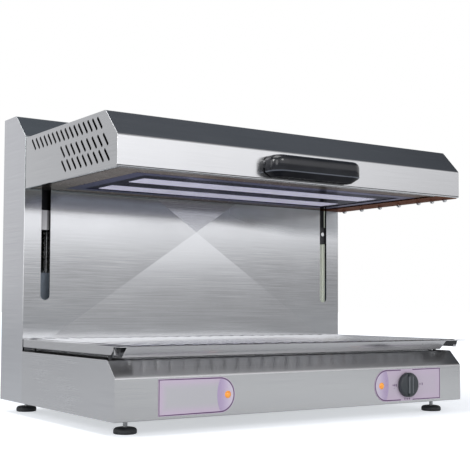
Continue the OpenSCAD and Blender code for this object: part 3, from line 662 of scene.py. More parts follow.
# The left carriage's pad shows upright bands of painted light and shade.
CARRIAGE_STEEL = bright_padded("carriage steel", 0.4035, (-0.366, -0.34))
DARK_STEEL = painted_metal("dark painted steel", (0.03, 0.031, 0.034), 0.42)
WEIGHT_PAINT = painted_metal("counterweight paint", (0.5, 0.58, 0.68), 0.42)
PULLEY_IRON = cast_iron("pulley iron", (0.16, 0.165, 0.18))
BRONZE = bright_metal("bearing bronze", (0.55, 0.38, 0.18), 0.32)
BLACK_MOULDING = moulding("black moulding", (0.018, 0.019, 0.021), 0.45)
KNOB_MOULDING = moulding("knob moulding", (0.03, 0.036, 0.042), 0.36)
# Grey on the ridges of the knob's black bar: painted highlights.
KNOB_RIDGE_HIGHLIGHT = moulding("knob ridge highlight", (0.2, 0.215, 0.23), 0.4)
HANDLE_GLOSS = moulding("handle gloss", (0.006, 0.007, 0.01), 0.14, coat=0.3, shine=0.4, texture=0.008)
# The slope under the crease is a darker, duller copy of the handle's black: painted shade.
HANDLE_UNDER_SHADED = moulding("handle underside shaded", (0.005, 0.0055, 0.008), 0.4, shine=0.16, texture=0.02)
# A lighter grey along the crease of the bar: a painted highlight.
HANDLE_CREASE_HIGHLIGHT = moulding("handle crease highlight", (0.09, 0.1, 0.12), 0.3, texture=0.02)
RUBBER = rubber("foot rubber")
# The heating strips glow faintly in pale lilac: painted light.
GLOWING_STRIP_CERAMIC = set_on(ceramic("strip ceramic glow", (0.8, 0.79, 0.93), 0.5),
                       {"Emission Color": (0.8, 0.78, 1.0, 1), "Emission Strength": 0.2})
TERMINAL_CERAMIC = ceramic("terminal ceramic", (0.82, 0.78, 0.68), 0.6)
FELT = felt("fibre blanket", (0.82, 0.79, 0.7))
UNDER_SHEET = heat_tint("tinted under sheet",
                        [(0.0, (0.56, 0.53, 0.5)), (0.12, (0.52, 0.48, 0.44)), (0.3, (0.26, 0.15, 0.11)),
                         (0.6, (0.16, 0.13, 0.14)), (0.9, (0.2, 0.1, 0.06))], 0.2, (0.56, 0.52, 0.5))
REFLECTOR_SHEET = heat_tint("tinted reflector",
                            [(0.0, (0.05, 0.055, 0.06)), (0.35, (0.06, 0.065, 0.08)), (0.55, (0.2, 0.2, 0.32)),
                             (0.75, (0.12, 0.1, 0.12)), (1.0, (0.1, 0.07, 0.07))], 0.16, (0.2, 0.2, 0.25))
COVER_SHEET = heat_tint("tinted cover", [(0.0, (0.2, 0.09, 0.05)), (1.0, (0.26, 0.11, 0.055))], 0.24,
                        (0.34, 0.2, 0.13))
# The pale lavender stop in the middle of the trim is a painted reflection; the other stops are heat tint.
TRIM_SHEET = heat_tint("tinted trim",
                       [(0.0, (0.2, 0.21, 0.36)), (0.3, (0.12, 0.12, 0.22)), (0.5, (0.5, 0.5, 0.66)),
                        (0.7, (0.2, 0.19, 0.32)), (0.86, (0.12, 0.1, 0.16)), (1.0, (0.16, 0.09, 0.07))], 0.12,
                       (0.4, 0.4, 0.54))
GAUZE = wire_cloth("wire gauze")
AMBER = lamp_lens("amber lens")
PURPLE_INK = print_ink_and_highlight("purple ink", (0.095, 0.04, 0.12))
# Pale dashes on the knob's rim: a painted highlight.
PALE_RIM_HIGHLIGHT = print_ink_and_highlight("pale rim highlight", (0.72, 0.74, 0.72))


# ---------- folded casings ----------

def bend_casing(node, knee, slope_y, hem_radius=0.0):
    """Draw a casing's outline at its left side, pull it across and round its folds."""
    low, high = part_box(node)
    bm = bmesh.new()
    outline = [(low.y, low.z), (low.y, knee), (slope_y, high.z), (high.y, high.z), (high.y, low.z)]
    side = bm.faces.new([bm.verts.new((low.x, y, z)) for y, z in outline])
    push(bm, side, (high.x - low.x, 0, 0))
    folds, hem = [], []
    for edge in bm.edges:
        start, end = (v.co for v in edge.verts)
        if abs(start.x - end.x) > 0.1:
            if start.z > low.z + NEAR and start.y < high.y - NEAR:
                folds.append(edge)
            elif start.z < low.z + NEAR and start.y < low.y + NEAR:
                hem.append(edge)
    round_edges(bm, folds, FOLD, 4)
    if hem_radius:
        round_edges(bm, hem, hem_radius, 4)
    return bm


def is_open_face(face, high):
    """Whether a face closes a casing's back."""
    return face.normal.y > 0.99 and face.calc_center_median().y > high.y - 0.1 * mm


def is_bottom(face):
    return face.normal.z < -0.99


def round_sides(bm, low, high, bottom_too, radius=CORNER):
    """Soften the edges where the side sheets meet the rest."""
    def on_side(edge):
        return all(min(v.co.x - low.x, high.x - v.co.x) < NEAR for v in edge.verts)

    def on_open_rim(edge):
        at_back = all(v.co.y > high.y - NEAR for v in edge.verts)
        at_bottom = all(v.co.z < low.z + NEAR for v in edge.verts)
        return at_back or (at_bottom and not bottom_too)
    round_edges(bm, [e for e in bm.edges if on_side(e) and not on_open_rim(e)], radius, 3)


def add_slot(bm, middle, axis, width, length, reach, tilt=0.0):
    """Add a round-ended bar that cuts an upright slot along X or Y, leaning by a tilt."""
    own = bmesh.new()
    ring = bmesh.ops.create_circle(own, cap_ends=True, radius=width / 2, segments=16,
                                   matrix=Matrix.Rotation(math.pi / 16, 4, "Z"))["verts"]
    for v in ring:
        v.co.y += math.copysign((length - width) / 2, v.co.y)
    push(own, own.faces[:][0], (0, 0, reach))
    bmesh.ops.translate(own, verts=own.verts, vec=(0, 0, -reach / 2))
    along_x = ((0, 0, 1), (1, 0, 0), (0, 1, 0))
    along_y = ((1, 0, 0), (0, 0, -1), (0, 1, 0))
    lean = Matrix.Rotation(tilt, 3, "X") @ Matrix(along_x if axis == "x" else along_y)
    bmesh.ops.transform(own, matrix=Matrix.Translation(middle) @ lean.to_4x4(), verts=own.verts)
    pour(own, bm)


def head_vents(low, high):
    """Three rows of leaning slots through both sides of the head."""
    bm = bmesh.new()
    width, length, lean = 5.6 * mm, 29 * mm, math.radians(-41)
    rows = [(16, 38.5, 18.6, 81), (9, 170, 21.25, 50), (9, 175, 21.25, 23.5)]
    for count, first, pitch, height in rows:
        for i in range(count):
            place = (0, high.y - (first + i * pitch) * mm, low.z + height * mm)
            add_slot(bm, place, "x", width, length, high.x - low.x + 0.02, lean)
    return bm


def make_head_casing():
    """The head's outer sheet: a sloping front, slotted sides, a rolled hem and a sooted inside."""
    low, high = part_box("head_shell")
    bm = bend_casing("head_shell", low.z + 54 * mm, low.y + 44 * mm, hem_radius=3.4 * mm)
    round_sides(bm, low, high, bottom_too=True)
    bottom = [f for f in bm.faces if is_bottom(f)]
    bmesh.ops.inset_region(bm, faces=bottom, thickness=7 * mm, depth=0)
    inner = [f for f in bm.faces if is_bottom(f) and f.calc_area() > 0.05]
    drop(bm, inner + [f for f in bm.faces if is_open_face(f, high)])
    finishes = [HEAD_FRONT, HEAD_SIDE_SHADED, HEAD_INSIDE, HEAD_SLOPE, HEAD_HEM_SHADE]
    piece = make_piece("head_casing", bm, "head", finishes, replaced=["head_shell"])
    give_wall(piece, SHEET, even=False)
    settle(piece)
    cut_out(piece, head_vents(low, high))
    sort_sides(piece)
    hem_y = low.y + 4 * mm
    # The slope's faces take the copy painted darker towards the right, and the upper faces of the hem the
    # painted shadow line.
    sort_faces(piece, (3, on_slope), (4, lambda f: f.center.y < hem_y and -0.4 < f.normal.z < -0.1))
    darken_inside(piece, low, high)
    even_shading(piece)


def make_base_casing():
    """The base's outer sheet: front, sloping edge, sides and a deck that is open for the tray."""
    low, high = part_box("base_shell")
    bm = bend_casing("base_shell", low.z + 72 * mm, low.y + 28 * mm, hem_radius=1.5 * mm)
    round_sides(bm, low, high, bottom_too=False, radius=1.6 * mm)
    drop(bm, [f for f in bm.faces if is_bottom(f) or is_open_face(f, high)])
    finishes = [BASE_FRONT, BASE_SIDE, BASE_SLOPE, BASE_DECK_SHADE]
    piece = make_piece("base_casing", bm, "frame", finishes, replaced=["base_shell"])
    give_wall(piece, SHEET)
    settle(piece)
    cut_out(piece, base_cutters(low, high))
    sort_sides(piece)
    flat = 0.95
    # The slope takes the copy painted darker towards the right, and the deck the near-black copy: painted
    # shade.
    sort_faces(piece, (2, lambda f: on_slope(f) and f.normal.y > -flat and f.normal.z < flat),
               (3, lambda f: f.normal.z > 0.99))
    even_shading(piece)


def base_cutters(low, high):
    """The tray's opening in the deck and the holes for the lamps and the regulator."""
    bm = bmesh.new()
    tray_low, tray_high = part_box("drip_tray")
    lip, hole = 10 * mm, 11 * mm
    add_block(bm, (tray_low.x + lip, tray_low.y + lip, high.z - 5 * mm),
              (tray_high.x - lip, tray_high.y - lip, high.z + 1 * mm))
    for node in ("left_lamp", "right_lamp", "regulator_shaft"):
        middle = middle_of(node)
        add_slot(bm, (middle.x, low.y, middle.z), "y", hole, hole, 10 * mm)
    return bm


def crease_panel(bm, low, top_z):
    """Break the front panel crosswise: four creases run from its middle, which lies deepest."""
    half_width, half_height, slope, depth = 0.4, 0.264, 0.66, 4.5 * mm
    middle = Vector((0, low.y, PANEL_MIDDLE))
    fade_z = top_z - 16 * mm
    front = [f for f in bm.faces if f.normal.y < -0.99 and f.calc_area() > 0.1]
    for rising in (-slope, slope):
        score(bm, middle, (-rising, 0, 1), front)
        front = [f for f in bm.faces if f.normal.y < -0.99 and f.calc_center_median().y < low.y + NEAR]
    score(bm, (0, low.y, fade_z), (0, 0, 1), front)
    for v in bm.verts:
        if v.co.y < low.y + NEAR and v.co.z < fade_z + 0.1 * mm:
            share = 1 - max(abs(v.co.x) / half_width, abs(v.co.z - PANEL_MIDDLE) / half_height)
            v.co.y += depth * max(0.0, share)


def make_column_casing():
    """The column's outer sheet: a creased front panel with a slot for each arm, and a sloping top."""
    low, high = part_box("column_shell")
    knee = high.z - 47 * mm
    bm = bend_casing("column_shell", knee, low.y + 50 * mm)
    round_sides(bm, low, high, bottom_too=False, radius=3.5 * mm)
    drop(bm, [f for f in bm.faces if is_bottom(f) or is_open_face(f, high)])
    crease_panel(bm, low, knee - 2 * mm)
    finishes = [COLUMN_FRONT, COLUMN_SIDE, COLUMN_LIT_FACET, COLUMN_SLOPE]
    piece = make_piece("column_casing", bm, "frame", finishes, 20, ["column_shell"])
    give_wall(piece, SHEET)
    settle(piece, 20)
    cutters = bmesh.new()
    for x in (-SLOT_X, SLOT_X):
        place = (x, low.y, (SLOT_LOW + SLOT_TOP) / 2)
        add_slot(cutters, place, "y", 20 * mm, SLOT_TOP - SLOT_LOW, 20 * mm)
    add_block(cutters, (low.x + 2 * mm, low.y - 1 * mm, low.z - 1 * mm),
              (high.x - 2 * mm, low.y + 3 * mm, low.z + 1.6 * mm))
    cut_out(piece, cutters)
    finish_mesh(piece.data, 0.6)
    sort_sides(piece)
    # The faces that look a little down take the copy painted lighter, and the slope its own steel.
    sort_faces(piece, (2, lambda f: f.normal.y < -0.99 and f.normal.z < -0.008), (3, on_slope))


# ---------- underside of the head ----------

def make_under_sheet():
    """The sheet that closes the head round the window, let in behind the casing's hem."""
    low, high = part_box("head_underframe")
    window_low, window_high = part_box("window_trim")
    bm = bmesh.new()
    z, hem, back = low.z + 0.7 * mm, 10.4 * mm, high.y - 1.8 * mm
    left, right, front = low.x + hem, high.x - hem, low.y + hem
    corners = [(left, front), (right, front), (right, back), (left, back)]
    bm.faces.new([bm.verts.new((x, y, z)) for x, y in corners])
    for corner in (window_low, window_high):
        score(bm, (corner.x, 0, z), (1, 0, 0))
        score(bm, (0, corner.y, z), (0, 1, 0))
    drop(bm, [f for f in bm.faces if f.calc_area() > 0.12])
    for face in bm.faces:
        if face.normal.z > 0:
            face.normal_flip()
    piece = make_piece("under_sheet", bm, "head", [UNDER_SHEET],
                       replaced=["head_underframe"])
    give_wall(piece, 0.75 * mm)
    settle(piece)


# ---------- handle ----------

def arc(middle, radius, start, stop, steps):
    """Points along part of a circle in a section's own plane."""
    angles = [math.radians(start + (stop - start) * i / steps) for i in range(steps + 1)]
    return [(middle[0] + radius * math.cos(a), middle[1] + radius * math.sin(a)) for a in angles]


BAR = 18 * mm
BAR_CREASE = 10 * mm
CREASE_TOP, CREASE_FOOT = 0.8 * mm, -1.1 * mm


def handle_section(low_z, high_z):
    """Outward and upward places round the bar: a wide top rim, a flat face, a crease and a slope under it."""
    rim, soft, foot = 12 * mm, 2.5 * mm, 1 * mm
    crease = low_z + BAR_CREASE
    return (arc((-rim, high_z - rim), rim, 0, 90, 12)
            + arc((-BAR + soft, high_z - soft), soft, 90, 180, 4)
            + arc((-BAR + foot, low_z + foot), foot, 180, 270, 3)
            + [(-BAR + 3 * mm, low_z), (-1.6 * mm, crease + CREASE_FOOT), (-0.5 * mm, crease - 0.3 * mm),
               (0, crease + CREASE_TOP)])


def pull_face(bm, face, step):
    """Draw a face on along a step and return the new end face."""
    pulled = bmesh.ops.extrude_face_region(bm, geom=[face])
    bmesh.ops.translate(bm, verts=verts_of(pulled["geom"]), vec=step)
    return faces_of(pulled["geom"])[0]


def turn_face(bm, face, centre):
    """Swing a face a quarter turn about an upright axis and return the new end face."""
    swung = bmesh.ops.spin(bm, geom=[face] + face.edges[:] + face.verts[:], cent=centre, axis=(0, 0, 1),
                           angle=math.pi / 2, steps=14)
    return faces_of(swung["geom_last"])[0]


def make_handle():
    """A bow of moulded bar: its section is drawn at the left foot and drawn round the plan."""
    low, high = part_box("handle_bow")
    bend = 25 * mm
    bm = bmesh.new()
    section = handle_section(low.z, high.z)
    face = bm.faces.new([bm.verts.new((low.x - out, high.y, z)) for out, z in section])
    face = pull_face(bm, face, (0, low.y + bend - high.y, 0))
    face = turn_face(bm, face, (low.x + bend, low.y + bend, 0))
    face = pull_face(bm, face, (high.x - low.x - 2 * bend, 0, 0))
    face = turn_face(bm, face, (high.x - bend, low.y + bend, 0))
    pull_face(bm, face, (0, high.y - low.y - bend, 0))
    face_outwards(bm)
    crease = low.z + BAR_CREASE
    # Faces below the crease take the shaded copy, and the crease itself the painted highlight.
    for face in bm.faces:
        middle_z = face.calc_center_median().z
        if middle_z < crease + CREASE_FOOT:
            face.material_index = 1
        elif middle_z < crease + CREASE_TOP and abs(face.normal.z) < 0.9:
            face.material_index = 2
    finishes = [HANDLE_GLOSS, HANDLE_UNDER_SHADED, HANDLE_CREASE_HIGHLIGHT]
    make_piece("handle_grip", bm, "head", finishes, 28, ["handle_bow"])


# ---------- knob, lamps and labels ----------

def make_knob():
    """A skirt with a rounded rim and a grip bar that stands across it."""
    low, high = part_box("knob")
    middle = middle_of("knob")
    x, z, back = middle.x, middle.z, high.y
    radius, depth = (high.x - low.x) / 2, high.y - low.y - 2.6 * mm
    outline = inward(radius, (0, 0), (0, 6.6), (0.4, 7.6), (1.3, 8.3), (4, 9), (8, 9.5), (13, 9.8))
    skirt = turn([(0, 0)] + outline + [(0, 10 * mm)], (x, back, z), (0, -1, 0), 72)
    make_piece("knob_skirt", skirt, "regulator_knob", [KNOB_MOULDING], 40, ["knob"])
    outline = inward(radius, (0.6, 2), (0.6, 8), (1.6, 9.8))
    outline += [(radius - 3.6 * mm, depth - 1 * mm), (radius - 5.6 * mm, depth)]
    bar = turn([(0, 2 * mm)] + outline + [(0, depth)], (x, back, z), (0, -1, 0), 72)
    for side in (-1, 1):
        slice_off(bar, (x + side * 5.2 * mm, back - depth, z), (side, 0.32, 0))
    in_front = back - 8 * mm
    tops = [e for e in bar.edges if e.calc_face_angle(0) > 0.6 and min(v.co.y for v in e.verts) < in_front]
    round_edges(bar, tops, 1.2 * mm, 3)
    make_piece("knob_bar", bar, "regulator_knob", [KNOB_MOULDING], 35)
    make_knob_lines(x, back, z, radius, depth)


def make_knob_lines(x, back, z, radius, depth):
    """Two ridges along the grip bar, grey as a painted highlight, and two pale dashes on the skirt, a painted
    highlight of its rim.
    """
    bm = bmesh.new()
    half, front, reach = 0.8 * mm, back - depth, radius - 7.6 * mm
    # The ridges wear the grey painted highlight.
    for side in (-1, 1):
        edge = x + side * 4.3 * mm
        add_soft_block(bm, (edge - half, front - 0.1 * mm, z - reach), (edge + half, front + 3 * mm, z + reach),
                       0.45 * mm)
    plain = len(bm.faces)
    skirt_y, pivot = back - 8.8 * mm, Vector((0, 0, 18 * mm))
    slope = Matrix.Translation(pivot) @ Matrix.Rotation(math.radians(-20), 4, "X") @ Matrix.Translation(-pivot)
    # Two pale dashes on the rim: a painted highlight.
    for angle in (15, 27):
        dash = bmesh.new()
        add_soft_block(dash, (-1.9 * mm, -0.5 * mm, radius - 3.4 * mm), (1.9 * mm, 0.7 * mm, radius - 2 * mm),
                       0.2 * mm, 1)
        lean = Matrix.Translation((x, skirt_y, z)) @ Matrix.Rotation(math.radians(angle), 4, "Y")
        bmesh.ops.transform(dash, matrix=lean @ slope, verts=dash.verts)
        pour(dash, bm)
    bm.faces.ensure_lookup_table()
    for face in bm.faces[plain:]:
        face.material_index = 1
    make_piece("knob_lines", bm, "regulator_knob", [KNOB_RIDGE_HIGHLIGHT, PALE_RIM_HIGHLIGHT], 35)


def make_lamp(node, name):
    """A pilot lamp: a stepped cap on the label and a stem that goes in through it."""
    low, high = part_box(node)
    middle = middle_of(node)
    face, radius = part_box("left_label")[0].y, (high.x - low.x) / 2
    stem, stem_end = 5.4 * mm, -24 * mm
    cap = inward(radius, (0, 0), (0, 0.7), (0.4, 1.1), (1.3, 1.5), (1.9, 2.3), (3.4, 2.9))
    outline = [(0, stem_end), (stem, stem_end), (stem, 0)] + cap + [(0, 3.0 * mm)]
    bm = turn(outline, (middle.x, face, middle.z), (0, -1, 0), 40)
    make_piece(name, bm, "frame", [AMBER], 40, [node])


def label_outline(low, high, round_side, y):
    """A flat label face with one square and one round end, at a depth."""
    bm = bmesh.new()
    corners = [(low.x, low.z), (high.x, low.z), (high.x, high.z), (low.x, high.z)]
    bm.faces.new([bm.verts.new((x, y, z)) for x, z in corners])
    end = high.x if round_side > 0 else low.x
    round_corners(bm, [v for v in bm.verts if abs(v.co.x - end) < 1e-6], (high.z - low.z) / 2 * 0.999, 20)
    return bm


def make_border(node, name, round_side, gap=None):
    """A printed line just inside the label's rim, broken beside the knob where there is a gap."""
    low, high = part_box(node)
    margin, width, thick = 0.9 * mm, 2.1 * mm, 0.1 * mm
    bm = label_outline(low, high, round_side, low.y)
    bm.normal_update()
    inside = bm.faces[:]
    bmesh.ops.inset_region(bm, faces=inside, thickness=margin, depth=0, use_boundary=True)
    drop(bm, [f for f in bm.faces if f not in inside])
    inside = bm.faces[:]
    bmesh.ops.inset_region(bm, faces=inside, thickness=width, depth=0, use_boundary=True)
    drop(bm, [f for f in bm.faces if f in inside])
    if gap:
        for x in gap:
            score(bm, (x, 0, 0), (1, 0, 0))
        drop(bm, [f for f in bm.faces if gap[0] < f.calc_center_median().x < gap[1]])
    raised = bmesh.ops.extrude_face_region(bm, geom=bm.faces[:])
    bmesh.ops.translate(bm, verts=verts_of(raised["geom"]), vec=(0, -thick, 0))
    face_outwards(bm)
    make_piece(name, bm, "frame", [PURPLE_INK], 30)


def make_crescent(node, name, round_side):
    """A printed lens beside the lamp, where the round end and a wider disc overlap."""
    low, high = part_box(node)
    half = (high.z - low.z) / 2
    middle_z, inner, thick = (low.z + high.z) / 2, half - 3 * mm, 0.05 * mm
    end = high.x if round_side > 0 else low.x
    centre_x = end - round_side * half
    disc = turn([(0, 0), (inner, 0), (inner, thick), (0, thick)], (centre_x, low.y, middle_z), (0, -1, 0), 96)
    wide, reach, step = 66 * mm, 1 * mm, round_side * 6 * mm
    edge_x = centre_x - step
    lens = turn([(0, -reach), (wide, -reach), (wide, reach), (0, reach)],
                (edge_x + round_side * wide, low.y, middle_z), (0, -1, 0), 192)
    ink = dotted_ink(name + " ink", edge_x, end - step)
    piece = make_piece(name, disc, "frame", [ink], 30)
    cut_out(piece, lens, "INTERSECT")


def make_dial_marks():
    """Three short ticks on each side of the knob and under it, and a small one low on either side."""
    middle = middle_of("knob")
    x, z, y = middle.x, middle.z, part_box("right_label")[0].y
    bm = bmesh.new()

    def tick(at, low_z, high_z, half=1.1 * mm):
        add_block(bm, (at - half, y - 0.1 * mm, low_z), (at + half, y - 0.01 * mm, high_z))
    for i, tall in enumerate((2.4 * mm, 1.9 * mm, 1.4 * mm)):
        tick(x - (28 + i * 4.2) * mm, z - tall, z + tall)
    for i, tall in enumerate((1.4 * mm, 1.9 * mm, 2.4 * mm)):
        tick(x + (30.5 + i * 6) * mm, z - tall, z + tall)
    for at in (x - 33.5 * mm, x + 33.5 * mm):
        tick(at, z - 6.4 * mm, z - 5.2 * mm, 0.6 * mm)
    for i in (-1, 0, 1):
        tick(x + (1 + i * 6) * mm, z - 29.4 * mm, z - 26.2 * mm)
    make_piece("dial_marks", bm, "frame", [PURPLE_INK], 30)


def make_gauze():
    """Fine wire cloth let into the rear panel behind its vents."""
    low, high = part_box("rear_panel")
    middle_y, edge, half = (low.y + high.y) / 2, 12 * mm, 0.15 * mm
    bm = bmesh.new()
    add_block(bm, (low.x + edge, middle_y - half, low.z + edge),
              (high.x - edge, middle_y + half, high.z - edge))
    make_piece("vent_gauze", bm, "frame", [GAUZE], 30)


# ---------- feet ----------

def make_foot(node, body):
    """A rubber pad with a sloping top on a threaded stem."""
    low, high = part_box(node)
    radius, top = (high.x - low.x) / 2, high.z - low.z
    place = ((low.x + high.x) / 2, (low.y + high.y) / 2, low.z)
    pad = inward(radius, (2.4, 0), (0.8, 0.5), (0, 2), (0, 6), (0.5, 7.8), (1.8, 9.4), (4, 10.6), (8, 11.3))
    pad = [(0, 0)] + pad + [(6.5 * mm, 11.5 * mm), (0, 11.5 * mm)]
    make_piece(node + "_pad", turn(pad, place, (0, 0, 1), 56), body, [RUBBER], 40, [node])
    crest, root, pitch, height = 4 * mm, 3.45 * mm, 1.2, 12
    stem = [(0, 11.3 * mm), (crest, 11.3 * mm)]
    while height < 24:
        stem += [(crest, height * mm), (root, (height + 0.45) * mm), (crest, (height + 0.9) * mm)]
        height += pitch
    stem += [(crest, top - 1 * mm), (3.2 * mm, top), (0, top)]
    make_piece(node + "_stem", turn(stem, place, (0, 0, 1), 32), body, [HOLDER_STEEL], 40)


# ---------- cooking grid ----------

def add_rib(bm, x, front, back, top, width, height):
    """Add a pressed rib: a flattened half ball, drawn out from front to back."""
    own = bmesh.new()
    radius = width / 2
    bmesh.ops.create_uvsphere(own, u_segments=24, v_segments=14, radius=radius,
                              matrix=Matrix.Rotation(math.radians(7.5), 4, "Z"))
    slice_off(own, (0, 0, -0.1 * mm), (0, 0, -1))
    stretch = (back - front) / 2 - radius
    for v in own.verts:
        off = min(1.0, math.hypot(v.co.x, v.co.y) / radius)
        v.co.z = height * (1 - off ** 4) - 0.02 * mm if v.co.z > -NEAR else -0.1 * mm
        v.co.y += math.copysign(stretch, v.co.y)
    bmesh.ops.translate(own, verts=own.verts, vec=(x, (front + back) / 2, top))
    pour(own, bm)


def make_grid():
    """The cooking grid: a plate with long slits in two rows, a pressed rib between them, and its edges."""
    low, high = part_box("cooking_grid")
    top = high.z - 1.8 * mm
    bm = bmesh.new()
    add_block(bm, (low.x, low.y + 1 * mm, top - SHEET), (high.x, high.y, top))
    round_edges(bm, bm.edges[:], 0.4 * mm, 2)
    piece = make_piece("grid_plate", bm, "grid", [GRID_STEEL], replaced=["cooking_grid"])
    count, pitch, width = 27, 28 * mm, 17 * mm
    first = -(count - 1) * pitch / 2
    front, back = low.y + 2.4 * mm, high.y - 14 * mm
    slit, bridge = (back - front - 60 * mm) / 2, 20 * mm
    laid_flat = Matrix.Rotation(math.pi / 2, 4, "X")
    cutters = bmesh.new()
    for i in range(count - 1):
        for row in (0, 1):
            middle_y = front + 18.5 * mm + row * (slit + bridge) + slit / 2
            own = bmesh.new()
            add_slot(own, (0, 0, 0), "y", 5 * mm, slit, 10 * mm)
            place = Matrix.Translation((first + (i + 0.5) * pitch, middle_y, top))
            bmesh.ops.transform(own, matrix=place @ laid_flat, verts=own.verts)
            pour(own, cutters)
    cut_out(piece, cutters)
    ribs = bmesh.new()
    for i in range(count):
        add_rib(ribs, first + i * pitch, front, back, top, width, 1.8 * mm)
    make_piece("grid_ribs", ribs, "grid", [GRID_STEEL], 60)
    make_grid_skirts(low, high, top)


def make_grid_skirts(low, high, top):
    """The flanges down the sides, the lip bent under the front edge and the turned-in corner tabs."""
    bm = bmesh.new()
    front, foot, left, right = low.y + 26 * mm, top - 15 * mm, -388 * mm, 340 * mm
    for side in (-1, 1):
        own = bmesh.new()
        outer = side * high.x
        inner, outer_x = sorted((outer, outer - side * SHEET))
        add_block(own, (inner, front, foot), (outer_x, high.y, top - SHEET * 0.5))
        slice_off(own, (0, front + 4.6 * mm, foot + 4.6 * mm), (0, -1, -1))
        round_edges(own, own.edges[:], 0.3 * mm, 1)
        pour(own, bm)
        tab_low, tab_high = sorted((outer - side * 3 * mm, outer - side * 12 * mm))
        add_soft_block(bm, (tab_low, front + 1 * mm, foot), (tab_high, front + 2.4 * mm, top - 4.6 * mm),
                       0.3 * mm, 1)
    lip = bmesh.new()
    add_block(lip, (left, 0, -SHEET), (right, 25 * mm, 0))
    round_edges(lip, lip.edges[:], 0.45 * mm, 2)
    place = Matrix.Translation((0, low.y + 1.0 * mm, top)) @ Matrix.Rotation(math.radians(-45), 4, "X")
    bmesh.ops.transform(lip, matrix=place, verts=lip.verts)
    pour(lip, bm)
    nose = turn([(0, left), (0.85 * mm, left), (0.85 * mm, right), (0, right)],
                (0, low.y + 1.2 * mm, top - 0.85 * mm), (1, 0, 0), 16)
    pour(nose, bm)
    make_piece("grid_skirts", bm, "grid", [GRID_LIP], 35)


# ---------- finishes of the carried-over nodes ----------

NODES_BY_FINISH = (
    (PLAIN_SHEET, "base_plate rear_panel head_rear_panel"),
    (TRAY_STEEL, "drip_tray"),
    (BRIGHT_STEEL, "guide_rods weight_rods idler_pins sync_shaft regulator_shaft cover_nuts carriage_bolts"),
    (HOLDER_STEEL, "rear_screws foot_nuts handle_screws cable_clamps"),
    (DARK_STEEL, "top_brackets bottom_brackets right_arm right_carriage"),
    (CARRIAGE_STEEL, "left_carriage"),
    (BLACK_MOULDING, "heat_regulator cable_gland locating_posts grid_pads left_arm"),
    (HANDLE_GLOSS, "handle_plate"),
    (TERMINAL_CERAMIC, "mains_terminals strip_holders element_terminals"),
    (GLOWING_STRIP_CERAMIC, "front_strip rear_strip"),
    (REFLECTOR_SHEET, "reflector"),
    (TRIM_SHEET, "window_trim"),
    (COVER_SHEET, "terminal_cover"),
    (FELT, "insulation"),
    (BRONZE, "shaft_bearings carriage_bushes"),
    (PULLEY_IRON, "left_pulley right_pulley left_idler right_idler"),
    (WEIGHT_PAINT, "left_counterweight right_counterweight"),
    (WIRE, "lift_cables"),
    (GLOWING_SLEEVE, "supply_leads"),
)
LABEL_TONES = {"left_label": (0.5, 0.495, 0.52), "right_label": (0.56, 0.49, 0.58)}


def wear(node, finish):
    """Put a finish on a carried-over node."""
    mesh = nodes_of_frame[node].data
    mesh.materials.clear()
    mesh.materials.append(finish)


def finish_nodes():
    """Put a finish on each node that stays, and on each label a foil of its own."""
    for finish, nodes in NODES_BY_FINISH:
        for node in nodes.split():
            wear(node, finish)
    for node, tone in LABEL_TONES.items():
        low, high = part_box(node)
        half_l, half_h = (high.x - low.x) / 2, (high.z - low.z) / 2
        wear(node, label_foil(node + " foil", middle_of(node), half_l, half_h, tone))


# ---------- camera, floor and light ----------

def set_camera():
    """The camera, with its place, its lens and how far it is swung, tipped and leant over."""
    place, (yaw, pitch, roll) = (-1.14873, -1.66895, 0.21279), map(math.radians, (-33.991, 2.9538, 0.289))
    data = bpy.data.cameras.new("camera")
    data.lens, data.sensor_width, data.clip_end = 75.74, 36, 100
    data.shift_x, data.shift_y = 0.01894, 0.04481
    camera = add_object("camera", data)
    forward = Vector((-math.sin(yaw) * math.cos(pitch), math.cos(yaw) * math.cos(pitch), math.sin(pitch)))
    level = Vector((math.cos(yaw), math.sin(yaw), 0))
    above = level.cross(forward)
    right = level * math.cos(roll) + above * math.sin(roll)
    up = above * math.cos(roll) - level * math.sin(roll)
    turned = Matrix((right, up, -forward)).transposed().to_4x4()
    camera.matrix_world = Matrix.Translation(place) @ turned
    bpy.context.scene.camera = camera


